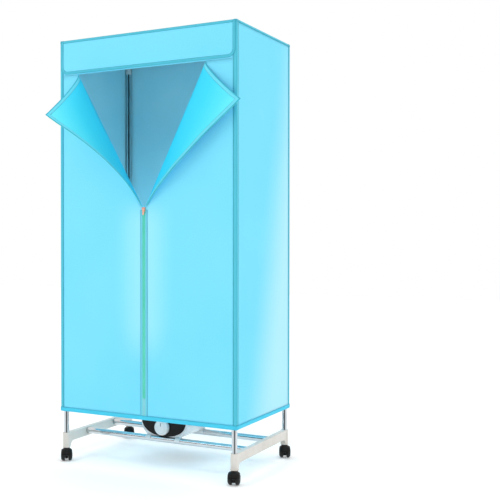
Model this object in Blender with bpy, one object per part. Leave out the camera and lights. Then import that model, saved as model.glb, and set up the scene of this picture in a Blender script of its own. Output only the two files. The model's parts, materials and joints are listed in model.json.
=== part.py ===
"""Portable clothes dryer: a fabric wardrobe on a tube frame with casters and a fan heater below.

Metres, +Z up, the floor at z = 0 and the door towards -Y. The sizes and places below are
measured from the middle of the cabinet. The whole model is then moved sideways, so that the
origin is under the middle of its bounding box, which the open door corners make wider.
"""
import bmesh
import bpy
import math
from mathutils import Matrix, Vector

# General
GAP = 0.0003                    # clearance between pieces that touch
OVERRUN = 0.004                 # how far a cutter runs past what it cuts
MERGE_DISTANCE = 0.00001
ROUND_SIDES = 16                # facets of a tube
SMALL_SIDES = 12                # facets of a stem, an axle or a pin
CORNER_STEPS = 5                # facets of a quarter circle in an outline
HOOK_STEPS = 14                 # facets of a hook or a clip round a bar

# Cabinet and cloth
CABINET_WIDTH = 0.700
CABINET_DEPTH = 0.440
CABINET_HEIGHT = 1.500
HEM_HEIGHT = 0.178              # floor to the cover's lower edge
CLOTH = 0.0012

# Tube frame
POST_RADIUS = 0.0095
BASE_BAR_RADIUS = 0.0110
TUBE_WALL = 0.0006
SOCKET_WALL = 0.0019
SOCKET_DEPTH = 0.025
ARM_INSET = 0.0004              # a corner's arms start one step apart, so no two ends meet
ARM_TWIST = math.radians(7)     # and each is turned past the last, so no two edges cross
MID_HEIGHT = 0.775              # floor to the half-way bars
MID_DIVIDER = 0.006             # web between the two posts in a half-way connector
ROD_DROP = 0.012                # a hanging rod lies this far below its side bars
ROD_HOOK_LENGTH = 0.024
ROD_HOOK_OPENING = math.radians(110)

# Feet
FOOT_TOP = 0.098
BEAM_HEIGHT = 0.032
BEAM_THICKNESS = 0.020
LEG_BOTTOM = 0.045
LEG_RADIUS = 0.0133
GUSSET_RADIUS = 0.018
BASE_BAR_SPACING = 0.175        # between the centres of the two base bars
BASE_BAR_HEIGHT = 0.085
BASE_BAR_SEAT = 0.014           # how deep a base bar sits in the beam
FOOT_EDGE = 0.0016

# Casters
WHEEL_RADIUS = 0.020
WHEEL_WIDTH = 0.0155
WHEEL_SHOULDER = 0.005
CASTER_WEB = 0.0105             # housing between the two wheels
AXLE_RADIUS = 0.0030
AXLE_BOSS_RADIUS = 0.0060
CASTER_TRAIL = 0.013            # how far the axle lies behind the swivel's axis
HOOD_WALL = 0.0026
HOOD_CLEARANCE = 0.0010
HOOD_START = math.radians(52)
HOOD_END = math.radians(168)
HOOD_STEPS = 8
NECK_RADIUS = 0.0049
CASTER_CAP_RADIUS = 0.0115
CASTER_CAP_HEIGHT = 0.0042
STEM_RADIUS = 0.0040
STEM_LENGTH = 0.018
CASTER_TURNS = {
    "front_left": math.radians(38),
    "front_right": math.radians(18),
    "rear_left": math.radians(34),
    "rear_right": math.radians(28),
}

# Door, valance and zip
VALANCE_DROP = 0.120
VALANCE_SIDE_MARGIN = 0.004
VALANCE_CORNER = 0.0275
HEADER_DEPTH = 0.124            # from the cabinet's top to the door's top
DOOR_SPLIT = 0.897              # height of the zip's slider, where the door opens
FOLD_TOP_LEFT = 0.274           # from the middle to where the left fold meets the door's top
FOLD_TOP_RIGHT = 0.239
FLAP_RISE_SHARE_LEFT = 0.970    # the tip's place against a flat corner's, as the cloth curls
FLAP_RISE_SHARE_RIGHT = 1.014
FLAP_REACH_SHARE_LEFT = 0.936
FLAP_REACH_SHARE_RIGHT = 0.949
FLAP_TURN_LEFT = math.radians(111)
FLAP_TURN_RIGHT = math.radians(171)
FLAP_ROOT = 0.030               # the flap starts this far above the slider
FLAP_EDGE_MARGIN = 0.004        # keeps the flap's free edge off the slider
FLAP_BOW = 0.010                # how far the hanging corner bellies out of its plane
FLAP_HOLLOW_POWER = 1.12        # over 1 hollows the free edge
FLAP_STEPS_BELOW = 10
FLAP_STEPS_ABOVE = 4
FLAP_STEPS_OUT = 7
CHAIN_WIDTH = 0.008
CHAIN_THICKNESS = 0.0024
SLIDER_WIDTH = 0.0100
SLIDER_LENGTH = 0.0150
SLIDER_PLATE = 0.0014
SLIDER_CLEARANCE = 0.0008
SLIDER_POST_WIDTH = 0.0030
SLIDER_POST_LENGTH = 0.0050
EAR_THICKNESS = 0.0012
EAR_HEIGHT = 0.0046
EAR_LENGTH = 0.0050
PULL_WIDTH = 0.0056
PULL_LENGTH = 0.0210
PULL_THICKNESS = 0.0014
PULL_PIN_RADIUS = 0.0007
PULL_PIN_CLEARANCE = 0.0003

# Heater
HEATER_WIDTH = 0.186
HEATER_BELLY = 0.090            # height of its underside, between the base bars
HEATER_TOP = 0.234
HEATER_FRONT = 0.088            # from the middle to the casing's front face
HEATER_REAR = 0.090
HEATER_BELLY_HALF = 0.072
HEATER_SLOPE_BOTTOM = 0.172     # where the outlet's slope starts
HEATER_SLOPE_RUN = 0.058        # how far back the slope goes
HEATER_REAR_RADIUS = 0.036
HEATER_BOTTOM_RADIUS = 0.054
HEATER_TOP_RADIUS = 0.048
HEATER_WALL = 0.0024
HEATER_SPLIT = 0.168            # the joint between the base and the cover
HEATER_CORNER_STEPS = 7
CLIP_SPREAD = 0.120             # between the two clips on a base bar
CLIP_WIDTH = 0.018
CLIP_WALL = 0.0026
CLIP_REACH = math.radians(8)    # how far below its middle a clip holds the bar
FASCIA_THICKNESS = 0.003
FASCIA_MARGIN = 0.004
FASCIA_BOTTOM = 0.101
FASCIA_TOP = 0.166
KNOB_HEIGHT = 0.130             # floor to the knob's axis
KNOB_RADIUS = 0.030
KNOB_FACE_RADIUS = 0.022
KNOB_DEPTH = 0.028
KNOB_EDGE = 0.003
KNOB_RECESS = 0.0015
KNOB_SHAFT_RADIUS = 0.004
KNOB_SHAFT_CLEARANCE = 0.0006
KNOB_RING_RADIUS = 0.0335       # black surround of the knob
TIMER_SIZE = (0.044, 0.024, 0.040)
GRILLE_WIDTH = 0.094
GRILLE_LENGTH = 0.062
GRILLE_THICKNESS = 0.003
SLOT_COUNT = 7
SLOT_WIDTH = 0.007
SLOT_LENGTH = 0.050
SLOT_PITCH = 0.0125
INTAKE_RADIUS = 0.048
INTAKE_HUB_RADIUS = 0.024
INTAKE_RIM = 0.005
INTAKE_SLOT_COUNT = 10
INTAKE_SLOT_WIDTH = 0.008
FAN_OFFSET = 0.010              # the fan's axis lies this far behind the middle
MOTOR_RADIUS = 0.022
MOTOR_HEIGHT = 0.040
MOTOR_SHAFT_RADIUS = 0.003
FAN_RADIUS = 0.050
FAN_HUB_RADIUS = 0.013
FAN_HUB_HEIGHT = 0.016
FAN_BLADE_COUNT = 7
FAN_BLADE_THICKNESS = 0.0018
FAN_BLADE_PITCH = math.radians(32)
FAN_BLADE_ROOT = 0.0012         # how deep a blade is set in the hub
FAN_LIFT = 0.004                # between the motor and the fan's hub
ELEMENT_SIZE = (0.124, 0.070, 0.022)
ELEMENT_EAR = (0.022, 0.016, 0.003)
ELEMENT_FIN_COUNT = 9
ELEMENT_FIN_GAP = 0.008
PILLAR_SIZE = (0.010, 0.012)
PILLAR_SPREAD = 0.142
GLAND_RADIUS = 0.0070
GLAND_FLANGE_RADIUS = 0.0095
GLAND_FLANGE = 0.0030
GLAND_LENGTH = 0.012
GLAND_BORE_RADIUS = 0.0035
GLAND_SIDE = 0.050              # from the middle to the gland, towards +X
GLAND_HEIGHT = 0.126

# Worked out from the sizes above
SOCKET_BORE = POST_RADIUS + GAP
SOCKET_RADIUS = SOCKET_BORE + SOCKET_WALL
CORNER_CORE = SOCKET_RADIUS + GAP
INSET = CLOTH + GAP + SOCKET_RADIUS
POST_X = CABINET_WIDTH / 2 - INSET
POST_Y = CABINET_DEPTH / 2 - INSET
TOP_BAR_HEIGHT = CABINET_HEIGHT - INSET
BEAM_BOTTOM = FOOT_TOP - BEAM_HEIGHT
BASE_BAR_Y = BASE_BAR_SPACING / 2
FRONT = -CABINET_DEPTH / 2
DOOR_TOP = CABINET_HEIGHT - HEADER_DEPTH
FOLD_AXIS_Y = FRONT - GAP / 2
VALANCE_AXIS_Y = FRONT - GAP - CLOTH / 2
VALANCE_AXIS_Z = CABINET_HEIGHT - CLOTH / 2
CHAIN_SIDE = CHAIN_WIDTH / 2 + GAP
CHAIN_FRONT = FRONT + CLOTH / 2 - CHAIN_THICKNESS / 2
SLIDER_TOP = DOOR_SPLIT + SLIDER_POST_LENGTH + GAP
SLIDER_FACE = CHAIN_FRONT - SLIDER_CLEARANCE - SLIDER_PLATE
PULL_PIVOT_Y = SLIDER_FACE - EAR_HEIGHT / 2
PULL_PIVOT_Z = SLIDER_TOP - SLIDER_LENGTH / 3
HEATER_LEDGE = BASE_BAR_HEIGHT + BASE_BAR_RADIUS + GAP
ROUND = math.radians(40)        # faces that meet at less than this are shaded as one
SIDES = {"left": -1, "right": 1}
CORNERS = {
    "front_left": (-1, -1),
    "front_right": (1, -1),
    "rear_left": (-1, 1),
    "rear_right": (1, 1),
}


def material(name, colour, roughness, metallic):
    """A Principled material from a linear colour."""
    made = bpy.data.materials.new(name)
    made.use_nodes = True
    shader = made.node_tree.nodes["Principled BSDF"]
    shader.inputs["Base Color"].default_value = (*colour, 1)
    shader.inputs["Roughness"].default_value = roughness
    shader.inputs["Metallic"].default_value = metallic
    return made


FINISHES = {
    "chrome": ((0.78, 0.79, 0.81), 0.12, 1),
    "foot_plastic": ((0.72, 0.71, 0.67), 0.45, 0),
    "joint_plastic": ((0.80, 0.80, 0.78), 0.45, 0),
    "caster_plastic": ((0.012, 0.012, 0.013), 0.42, 0),
    "caster_wheel": ((0.018, 0.018, 0.019), 0.55, 0),
    "cover_cloth": ((0.21, 0.76, 1.0), 0.75, 0),
    "door_cloth": ((0.21, 0.74, 1.0), 0.75, 0),
    "flap_cloth": ((0.04, 0.70, 0.98), 0.70, 0),
    "zip_teeth": ((0.11, 0.66, 0.46), 0.50, 0),
    "zip_metal": ((0.78, 0.42, 0.34), 0.30, 1),
    "heater_shell": ((0.78, 0.78, 0.78), 0.40, 0),
    "heater_gloss": ((0.006, 0.006, 0.007), 0.12, 0),
    "knob_plastic": ((0.84, 0.84, 0.84), 0.35, 0),
    "grille_plastic": ((0.05, 0.05, 0.055), 0.50, 0),
    "motor_steel": ((0.50, 0.51, 0.53), 0.40, 1),
    "element_aluminium": ((0.62, 0.62, 0.64), 0.45, 1),
    "fan_plastic": ((0.03, 0.03, 0.035), 0.45, 0),
    "timer_case": ((0.60, 0.60, 0.58), 0.50, 0),
    "gland_rubber": ((0.015, 0.015, 0.015), 0.80, 0),
}


def new_object(name, bm, smooth_angle=None):
    """An object from a bmesh, with clean normals. A round piece gets a smoothing angle."""
    bmesh.ops.remove_doubles(bm, verts=bm.verts, dist=MERGE_DISTANCE)
    bmesh.ops.recalc_face_normals(bm, faces=bm.faces)
    mesh = bpy.data.meshes.new(name)
    bm.to_mesh(mesh)
    bm.free()
    if smooth_angle is not None:
        mesh.shade_smooth()
        mesh.set_sharp_from_angle(angle=smooth_angle)
    made = bpy.data.objects.new(name, mesh)
    bpy.context.collection.objects.link(made)
    return made


def box(name, low, high):
    """A block between two corners."""
    bm = bmesh.new()
    bmesh.ops.create_cube(bm, size=1)
    size = Vector(high) - Vector(low)
    middle = (Vector(high) + Vector(low)) / 2
    bmesh.ops.scale(bm, vec=size, verts=bm.verts)
    bmesh.ops.translate(bm, vec=middle, verts=bm.verts)
    return new_object(name, bm)


def rod(name, start, end, radius, bore=0, sides=ROUND_SIDES):
    """A round bar from start to end, or a tube where it has a bore."""
    start = Vector(start)
    run = Vector(end) - start
    profile = [(0, 0), (radius, 0), (radius, run.length), (0, run.length)]
    if bore:
        profile = [(bore, 0), (radius, 0), (radius, run.length), (bore, run.length), (bore, 0)]
    made = turned(name, profile, sides)
    turn = Vector((0, 0, 1)).rotation_difference(run).to_matrix().to_4x4()
    made.data.transform(Matrix.Translation(start) @ turn)
    return made


def turned(name, profile, sides=ROUND_SIDES):
    """A body turned about Z from (radius, height) points."""
    bm = bmesh.new()
    points = [bm.verts.new((radius, 0, height)) for radius, height in profile]
    edges = [bm.edges.new(pair) for pair in zip(points, points[1:])]
    bmesh.ops.spin(
        bm, geom=points + edges, cent=(0, 0, 0), axis=(0, 0, 1),
        angle=math.tau, steps=sides, use_merge=True,
    )
    return new_object(name, bm, ROUND)


def prism(name, outline, start, end, axis="Y"):
    """An outline pushed from start to end along X, Y or Z. Its points are the other two axes."""
    order = {"X": (2, 0, 1), "Y": (0, 2, 1), "Z": (0, 1, 2)}[axis]
    bm = bmesh.new()
    base = []
    for across, up in outline:
        values = (across, up, start)
        base.append(bm.verts.new([values[place] for place in order]))
    face = bm.faces.new(base)
    pushed = bmesh.ops.extrude_face_region(bm, geom=[face])
    moved = [item for item in pushed["geom"] if isinstance(item, bmesh.types.BMVert)]
    direction = Vector([1 if place == 2 else 0 for place in order])
    bmesh.ops.translate(bm, vec=direction * (end - start), verts=moved)
    return new_object(name, bm, ROUND)


def boolean(target, tool, operation):
    """The target joined with, cut by or limited to the tool, which is then removed."""
    step = target.modifiers.new(operation.lower(), "BOOLEAN")
    step.operation = operation
    step.solver = "EXACT"
    step.object = tool
    evaluated = target.evaluated_get(bpy.context.evaluated_depsgraph_get())
    shape = bpy.data.meshes.new_from_object(evaluated)
    target.modifiers.clear()
    bm = bmesh.new()
    bm.from_mesh(shape)
    bmesh.ops.remove_doubles(bm, verts=bm.verts, dist=MERGE_DISTANCE)
    bmesh.ops.dissolve_degenerate(bm, edges=bm.edges, dist=MERGE_DISTANCE)
    bm.to_mesh(shape)
    bm.free()
    shape.name = target.name
    target.data = shape
    bpy.data.objects.remove(tool, do_unlink=True)
    return target


def joined(target, *tools):
    """The target with the tools fused to it."""
    for tool in tools:
        boolean(target, tool, "UNION")
    return target


def cut(target, *tools):
    """The target without the space of the tools."""
    for tool in tools:
        boolean(target, tool, "DIFFERENCE")
    return target


def arc(centre, radius, first, last, steps):
    """Points of an arc, both ends included."""
    points = []
    for step in range(steps + 1):
        turn = first + (last - first) * step / steps
        points.append((centre[0] + radius * math.cos(turn), centre[1] + radius * math.sin(turn)))
    return points


def finish(piece, finish_name, parent=None, place=None):
    """Gives a piece its material and, where it moves, an origin on its joint's axis."""
    if place is not None:
        piece.data.transform(Matrix.Translation(-Vector(place)))
        piece.location = place
    if parent is None:
        piece.parent = ASSEMBLY
    else:
        piece.parent = parent
        piece.matrix_parent_inverse = Matrix.Translation(-parent.location)
    piece.data.materials.clear()
    piece.data.materials.append(MATERIALS[finish_name])
    return piece


def make_foot(side, sign):
    """A side beam with a leg at each end: sockets for two posts, two casters and two base bars."""
    post_x = sign * POST_X
    gusset_centre = POST_Y - LEG_RADIUS - GUSSET_RADIUS
    gusset_low = BEAM_BOTTOM - GUSSET_RADIUS
    quarter = math.pi / 2
    outline = [(-POST_Y, FOOT_TOP), (-POST_Y, gusset_low)]
    outline += arc((-gusset_centre, gusset_low), GUSSET_RADIUS, math.pi, quarter, CORNER_STEPS)
    outline += arc((gusset_centre, gusset_low), GUSSET_RADIUS, quarter, 0, CORNER_STEPS)
    outline += [(POST_Y, gusset_low), (POST_Y, FOOT_TOP)]
    half = BEAM_THICKNESS / 2
    foot = prism("foot_" + side, outline, post_x - half, post_x + half, "X")
    for end in (-POST_Y, POST_Y):
        leg = rod("leg", (post_x, end, LEG_BOTTOM), (post_x, end, FOOT_TOP + FOOT_EDGE), LEG_RADIUS)
        joined(foot, leg)
    for end in (-POST_Y, POST_Y):
        top = (post_x, end, FOOT_TOP + OVERRUN)
        seat = (post_x, end, FOOT_TOP - SOCKET_DEPTH)
        cut(foot, rod("post_bore", seat, top, SOCKET_BORE))
        low = (post_x, end, LEG_BOTTOM - OVERRUN)
        high = (post_x, end, LEG_BOTTOM + STEM_LENGTH + GAP)
        cut(foot, rod("stem_bore", low, high, STEM_RADIUS + GAP, sides=SMALL_SIDES))
    inner = post_x - sign * half
    for bar_y in (-BASE_BAR_Y, BASE_BAR_Y):
        mouth = (inner - sign * OVERRUN, bar_y, BASE_BAR_HEIGHT)
        seat = (inner + sign * BASE_BAR_SEAT, bar_y, BASE_BAR_HEIGHT)
        cut(foot, rod("bar_bore", mouth, seat, BASE_BAR_RADIUS + GAP))
    finish(foot, "foot_plastic")


def make_tube(name, start, end, radius=POST_RADIUS):
    """A chromed tube."""
    finish(rod(name, start, end, radius, bore=radius - TUBE_WALL), "chrome")


def make_base_bars():
    reach = POST_X - BEAM_THICKNESS / 2 + BASE_BAR_SEAT - GAP
    for name, bar_y in (("front", -BASE_BAR_Y), ("rear", BASE_BAR_Y)):
        start = (-reach, bar_y, BASE_BAR_HEIGHT)
        end = (reach, bar_y, BASE_BAR_HEIGHT)
        make_tube("base_bar_" + name, start, end, BASE_BAR_RADIUS)


def make_posts():
    seat = FOOT_TOP - SOCKET_DEPTH + GAP
    below = MID_HEIGHT - MID_DIVIDER / 2 - GAP
    above = MID_HEIGHT + MID_DIVIDER / 2 + GAP
    top = TOP_BAR_HEIGHT - CORNER_CORE - GAP
    for corner, (across, along) in CORNERS.items():
        x, y = across * POST_X, along * POST_Y
        make_tube("lower_post_" + corner, (x, y, seat), (x, y, below))
        make_tube("upper_post_" + corner, (x, y, above), (x, y, top))


def socket_arm(direction, behind, reach):
    """A solid arm through the hub at zero, and the bore that a tube's end goes into."""
    way = Vector(direction)
    arm = rod("arm", -way * behind, way * reach, SOCKET_RADIUS)
    bore = rod("bore", way * CORNER_CORE, way * (reach + OVERRUN), SOCKET_BORE)
    return arm, bore


def make_mid_connector(corner, across, along):
    """A sleeve between two posts, with a socket for the bar that runs front to back."""
    half = MID_DIVIDER / 2 + SOCKET_DEPTH
    sleeve = rod("mid_connector_" + corner, (0, 0, -half), (0, 0, half), SOCKET_RADIUS)
    arm, arm_bore = socket_arm((0, -along, 0), 0, CORNER_CORE + SOCKET_DEPTH)
    joined(sleeve, arm)
    cut(sleeve, arm_bore)
    for sign in (-1, 1):
        seat = (0, 0, sign * MID_DIVIDER / 2)
        mouth = (0, 0, sign * (half + OVERRUN))
        cut(sleeve, rod("post_bore", seat, mouth, SOCKET_BORE))
    sleeve.data.transform(Matrix.Translation((across * POST_X, along * POST_Y, MID_HEIGHT)))
    finish(sleeve, "joint_plastic")


def make_top_corner(corner, across, along):
    """A three-way corner: sockets down, along the width and along the depth."""
    reach = CORNER_CORE + SOCKET_DEPTH
    arms = []
    bores = []
    for step, way in enumerate(((0, 0, -1), (-across, 0, 0), (0, -along, 0))):
        behind = SOCKET_RADIUS - ARM_INSET * (step + 1)
        arm, bore = socket_arm(way, behind, reach)
        arm.data.transform(Matrix.Rotation(ARM_TWIST * step, 4, Vector(way)))
        arms.append(arm)
        bores.append(bore)
    arms[0].name = "top_corner_" + corner
    joined(*arms)
    cut(arms[0], *bores)
    hub = (across * POST_X, along * POST_Y, TOP_BAR_HEIGHT)
    arms[0].data.transform(Matrix.Translation(hub))
    finish(arms[0], "joint_plastic")


def make_frame_bars():
    """The bars between the top corners and between the half-way connectors."""
    inner_x = POST_X - CORNER_CORE - GAP
    inner_y = POST_Y - CORNER_CORE - GAP
    for name, y in (("front", -POST_Y), ("rear", POST_Y)):
        make_tube("top_bar_" + name, (-inner_x, y, TOP_BAR_HEIGHT), (inner_x, y, TOP_BAR_HEIGHT))
    for side, sign in SIDES.items():
        x = sign * POST_X
        make_tube("top_side_bar_" + side, (x, -inner_y, TOP_BAR_HEIGHT), (x, inner_y, TOP_BAR_HEIGHT))
        make_tube("mid_side_bar_" + side, (x, -inner_y, MID_HEIGHT), (x, inner_y, MID_HEIGHT))


def make_hanging_rod(name, height):
    """A tube across the cabinet, held below a hook at each end that drops over the side bar."""
    low = height - ROD_DROP
    reach = POST_X - (SOCKET_BORE + SOCKET_WALL / 2)
    made = rod(name, (-reach, 0, low), (reach, 0, low), POST_RADIUS)
    end = math.pi * 3 / 2 - ROD_HOOK_OPENING / 2
    foot = -ROD_DROP - SOCKET_RADIUS
    hook = [(SOCKET_RADIUS, foot)] + arc((0, 0), SOCKET_RADIUS, 0, end, HOOK_STEPS)
    hook += arc((0, 0), SOCKET_BORE, end, 0, HOOK_STEPS) + [(SOCKET_BORE, foot)]
    half = ROD_HOOK_LENGTH / 2
    for sign in (-1, 1):
        outline = [(sign * (POST_X - across), height + up) for across, up in hook]
        joined(made, prism("hook", outline, -half, half, "Y"))
    mouth = reach + OVERRUN
    cut(made, rod("bore", (-mouth, 0, low), (mouth, 0, low), POST_RADIUS - TUBE_WALL))
    finish(made, "chrome")


def make_caster(corner, across, along):
    """A twin-wheel caster. It swivels on its stem, and both wheels turn with their axle."""
    post = Vector((across * POST_X, along * POST_Y, 0))
    turn = CASTER_TURNS[corner]
    place = Matrix.Translation(post) @ Matrix.Rotation(turn, 4, "Z")
    centre = Vector((0, -CASTER_TRAIL, WHEEL_RADIUS))
    cap_top = LEG_BOTTOM - GAP
    hood_inner = WHEEL_RADIUS + HOOD_CLEARANCE
    hood_outer = hood_inner + HOOD_WALL
    hub = (centre.y, centre.z)
    width = CASTER_WEB / 2 + WHEEL_WIDTH
    hood_top = arc(hub, hood_outer, HOOD_START, HOOD_END, HOOD_STEPS)
    hood_outline = hood_top + arc(hub, hood_inner, HOOD_END, HOOD_START, HOOD_STEPS)
    housing = prism("caster_housing_" + corner, hood_outline, -width, width, "X")
    web_outline = hood_top + arc(hub, AXLE_BOSS_RADIUS, math.pi, math.tau, CORNER_STEPS)
    joined(housing, prism("web", web_outline, -CASTER_WEB / 2, CASTER_WEB / 2, "X"))
    cap_low = cap_top - CASTER_CAP_HEIGHT
    cap = rod("cap", (0, 0, cap_low), (0, 0, cap_top), CASTER_CAP_RADIUS)
    neck_low = (0, 0, WHEEL_RADIUS + AXLE_BOSS_RADIUS)
    neck = rod("neck", neck_low, (0, 0, cap_low + GAP), NECK_RADIUS, sides=SMALL_SIDES)
    stem_top = (0, 0, LEG_BOTTOM + STEM_LENGTH - GAP)
    stem = rod("stem", (0, 0, cap_top - GAP), stem_top, STEM_RADIUS, sides=SMALL_SIDES)
    joined(housing, cap, neck, stem)
    bore_half = CASTER_WEB / 2 + OVERRUN
    bore = rod("bore", (-bore_half, *hub), (bore_half, *hub), AXLE_RADIUS + GAP)
    cut(housing, bore)
    housing.data.transform(place)
    finish(housing, "caster_plastic", place=post + Vector((0, 0, cap_top)))

    inner = CASTER_WEB / 2 + GAP
    outer = inner + WHEEL_WIDTH - GAP
    rim = [
        (AXLE_RADIUS, inner),
        (WHEEL_RADIUS - WHEEL_SHOULDER / 2, inner),
        (WHEEL_RADIUS, inner + WHEEL_SHOULDER / 2),
        (WHEEL_RADIUS, outer - WHEEL_SHOULDER),
        (WHEEL_RADIUS - WHEEL_SHOULDER / 3, outer - WHEEL_SHOULDER / 3),
        (WHEEL_RADIUS - WHEEL_SHOULDER, outer),
        (0, outer),
    ]
    profile = [(radius, -along_axle) for radius, along_axle in reversed(rim)] + rim
    wheels = turned("caster_wheels_" + corner, profile)
    wheels.data.transform(Matrix.Rotation(math.pi / 2, 4, "Y"))
    wheels.data.transform(place @ Matrix.Translation(centre))
    finish(wheels, "caster_wheel", place=place @ centre)


def make_cover():
    """The cloth panels: top, back, two sides, the header over the door and the two door halves."""
    half_x, half_y = CABINET_WIDTH / 2, CABINET_DEPTH / 2
    top_low = CABINET_HEIGHT - CLOTH
    under_top = top_low - GAP
    top = box("cover_top", (-half_x, -half_y, top_low), (half_x, half_y, CABINET_HEIGHT))
    finish(top, "cover_cloth")
    back = box("cover_back", (-half_x, half_y - CLOTH, HEM_HEIGHT), (half_x, half_y, under_top))
    finish(back, "cover_cloth")
    side_y = half_y - CLOTH - GAP
    for side, sign in SIDES.items():
        near, far = sorted((sign * half_x, sign * (half_x - CLOTH)))
        panel = box("cover_" + side, (near, -side_y, HEM_HEIGHT), (far, side_y, under_top))
        finish(panel, "cover_cloth")
    header = box("cover_header", (-half_x, FRONT, DOOR_TOP + GAP), (half_x, FRONT + CLOTH, under_top))
    finish(header, "cover_cloth")
    for side, sign, fold_top in (("left", -1, FOLD_TOP_LEFT), ("right", 1, FOLD_TOP_RIGHT)):
        outline = [
            (sign * half_x, HEM_HEIGHT),
            (sign * CHAIN_SIDE, HEM_HEIGHT),
            (sign * CHAIN_SIDE, DOOR_SPLIT),
            (sign * fold_top, DOOR_TOP),
            (sign * half_x, DOOR_TOP),
        ]
        finish(prism("door_" + side, outline, FRONT, FRONT + CLOTH), "door_cloth")


def make_valance():
    """The flap that hangs over the door's top, with rounded lower corners. It lifts at its top."""
    half = CABINET_WIDTH / 2 - VALANCE_SIDE_MARGIN
    low = CABINET_HEIGHT - VALANCE_DROP
    side = half - VALANCE_CORNER
    height = low + VALANCE_CORNER
    outline = [(half, CABINET_HEIGHT), (-half, CABINET_HEIGHT)]
    outline += arc((-side, height), VALANCE_CORNER, math.pi, math.pi * 3 / 2, CORNER_STEPS)
    outline += arc((side, height), VALANCE_CORNER, math.pi * 3 / 2, math.tau, CORNER_STEPS)
    rear = FRONT - GAP
    valance = prism("valance", outline, rear - CLOTH, rear)
    finish(valance, "cover_cloth", place=(0, VALANCE_AXIS_Y, VALANCE_AXIS_Z))


def flap_frame(sign, fold_top):
    """The fold line's foot at the slider, the way up along it, and the way across the door."""
    foot = Vector((sign * CHAIN_SIDE, FOLD_AXIS_Y, DOOR_SPLIT))
    upper = Vector((sign * fold_top, FOLD_AXIS_Y, DOOR_TOP))
    up = (upper - foot).normalized()
    across = Vector((0, 1, 0)).cross(up) * -sign
    return foot, up, across, (upper - foot).length


def flap_tip(sign, fold_top):
    """How far up the fold line and out from it the door's corner lies."""
    foot, up, across, length = flap_frame(sign, fold_top)
    height = DOOR_TOP - DOOR_SPLIT
    rise_share = FLAP_RISE_SHARE_LEFT if sign < 0 else FLAP_RISE_SHARE_RIGHT
    reach_share = FLAP_REACH_SHARE_LEFT if sign < 0 else FLAP_REACH_SHARE_RIGHT
    return up.z * height * rise_share, across.z * height * reach_share


def flap_point(sign, fold_top, turn, rise, reach, depth):
    """A place on a door corner that is turned about its fold line."""
    foot, up, across, length = flap_frame(sign, fold_top)
    ahead = Vector((0, -1, 0))
    outward = across * math.cos(turn) + ahead * math.sin(turn)
    off_plane = ahead * -math.cos(turn) + across * math.sin(turn)
    return foot + up * rise + outward * reach + off_plane * depth


def flap_rows(length, tip_rise, tip_reach):
    """Heights along the fold line for the flap's rows, with one at its tip."""
    end = length - (length - tip_rise) * FLAP_EDGE_MARGIN * 2 / tip_reach
    rows = []
    for step in range(FLAP_STEPS_BELOW):
        rows.append(FLAP_ROOT + (tip_rise - FLAP_ROOT) * step / FLAP_STEPS_BELOW)
    for step in range(FLAP_STEPS_ABOVE + 1):
        rows.append(tip_rise + (end - tip_rise) * step / FLAP_STEPS_ABOVE)
    return rows


def flap_width(rise, length, tip_rise, tip_reach):
    """How far the corner reaches from its fold line, at a height along that line."""
    if rise < tip_rise:
        return tip_reach * (rise / tip_rise) ** FLAP_HOLLOW_POWER - FLAP_EDGE_MARGIN
    return tip_reach * (length - rise) / (length - tip_rise) - FLAP_EDGE_MARGIN


def make_flap(side, sign, fold_top, turn):
    """A door corner, folded out about the line from the slider to the door's top."""
    foot, up, across, length = flap_frame(sign, fold_top)
    tip_rise, tip_reach = flap_tip(sign, fold_top)
    bm = bmesh.new()
    sheets = []
    for depth in (GAP / 2, GAP / 2 + CLOTH):
        rows = []
        for rise in flap_rows(length, tip_rise, tip_reach):
            width = flap_width(rise, length, tip_rise, tip_reach)
            row = []
            for step in range(FLAP_STEPS_OUT + 1):
                share = step / FLAP_STEPS_OUT
                reach = GAP + (width - GAP) * share
                bow = FLAP_BOW * (width / tip_reach) * math.sin(math.pi * share)
                row.append(bm.verts.new(flap_point(sign, fold_top, turn, rise, reach, depth + bow)))
            rows.append(row)
        sheets.append(rows)
    for rows in sheets:
        for lower, upper in zip(rows, rows[1:]):
            for step in range(FLAP_STEPS_OUT):
                bm.faces.new((lower[step], lower[step + 1], upper[step + 1], upper[step]))
    rims = []
    for rows in sheets:
        rim = rows[0] + [row[-1] for row in rows[1:-1]] + rows[-1][::-1]
        rims.append(rim + [row[0] for row in rows[-2:0:-1]])
    for here in range(len(rims[0])):
        there = (here + 1) % len(rims[0])
        bm.faces.new((rims[0][here], rims[0][there], rims[1][there], rims[1][here]))
    flap = new_object("door_flap_" + side, bm, ROUND)
    finish(flap, "flap_cloth", place=foot)


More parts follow.
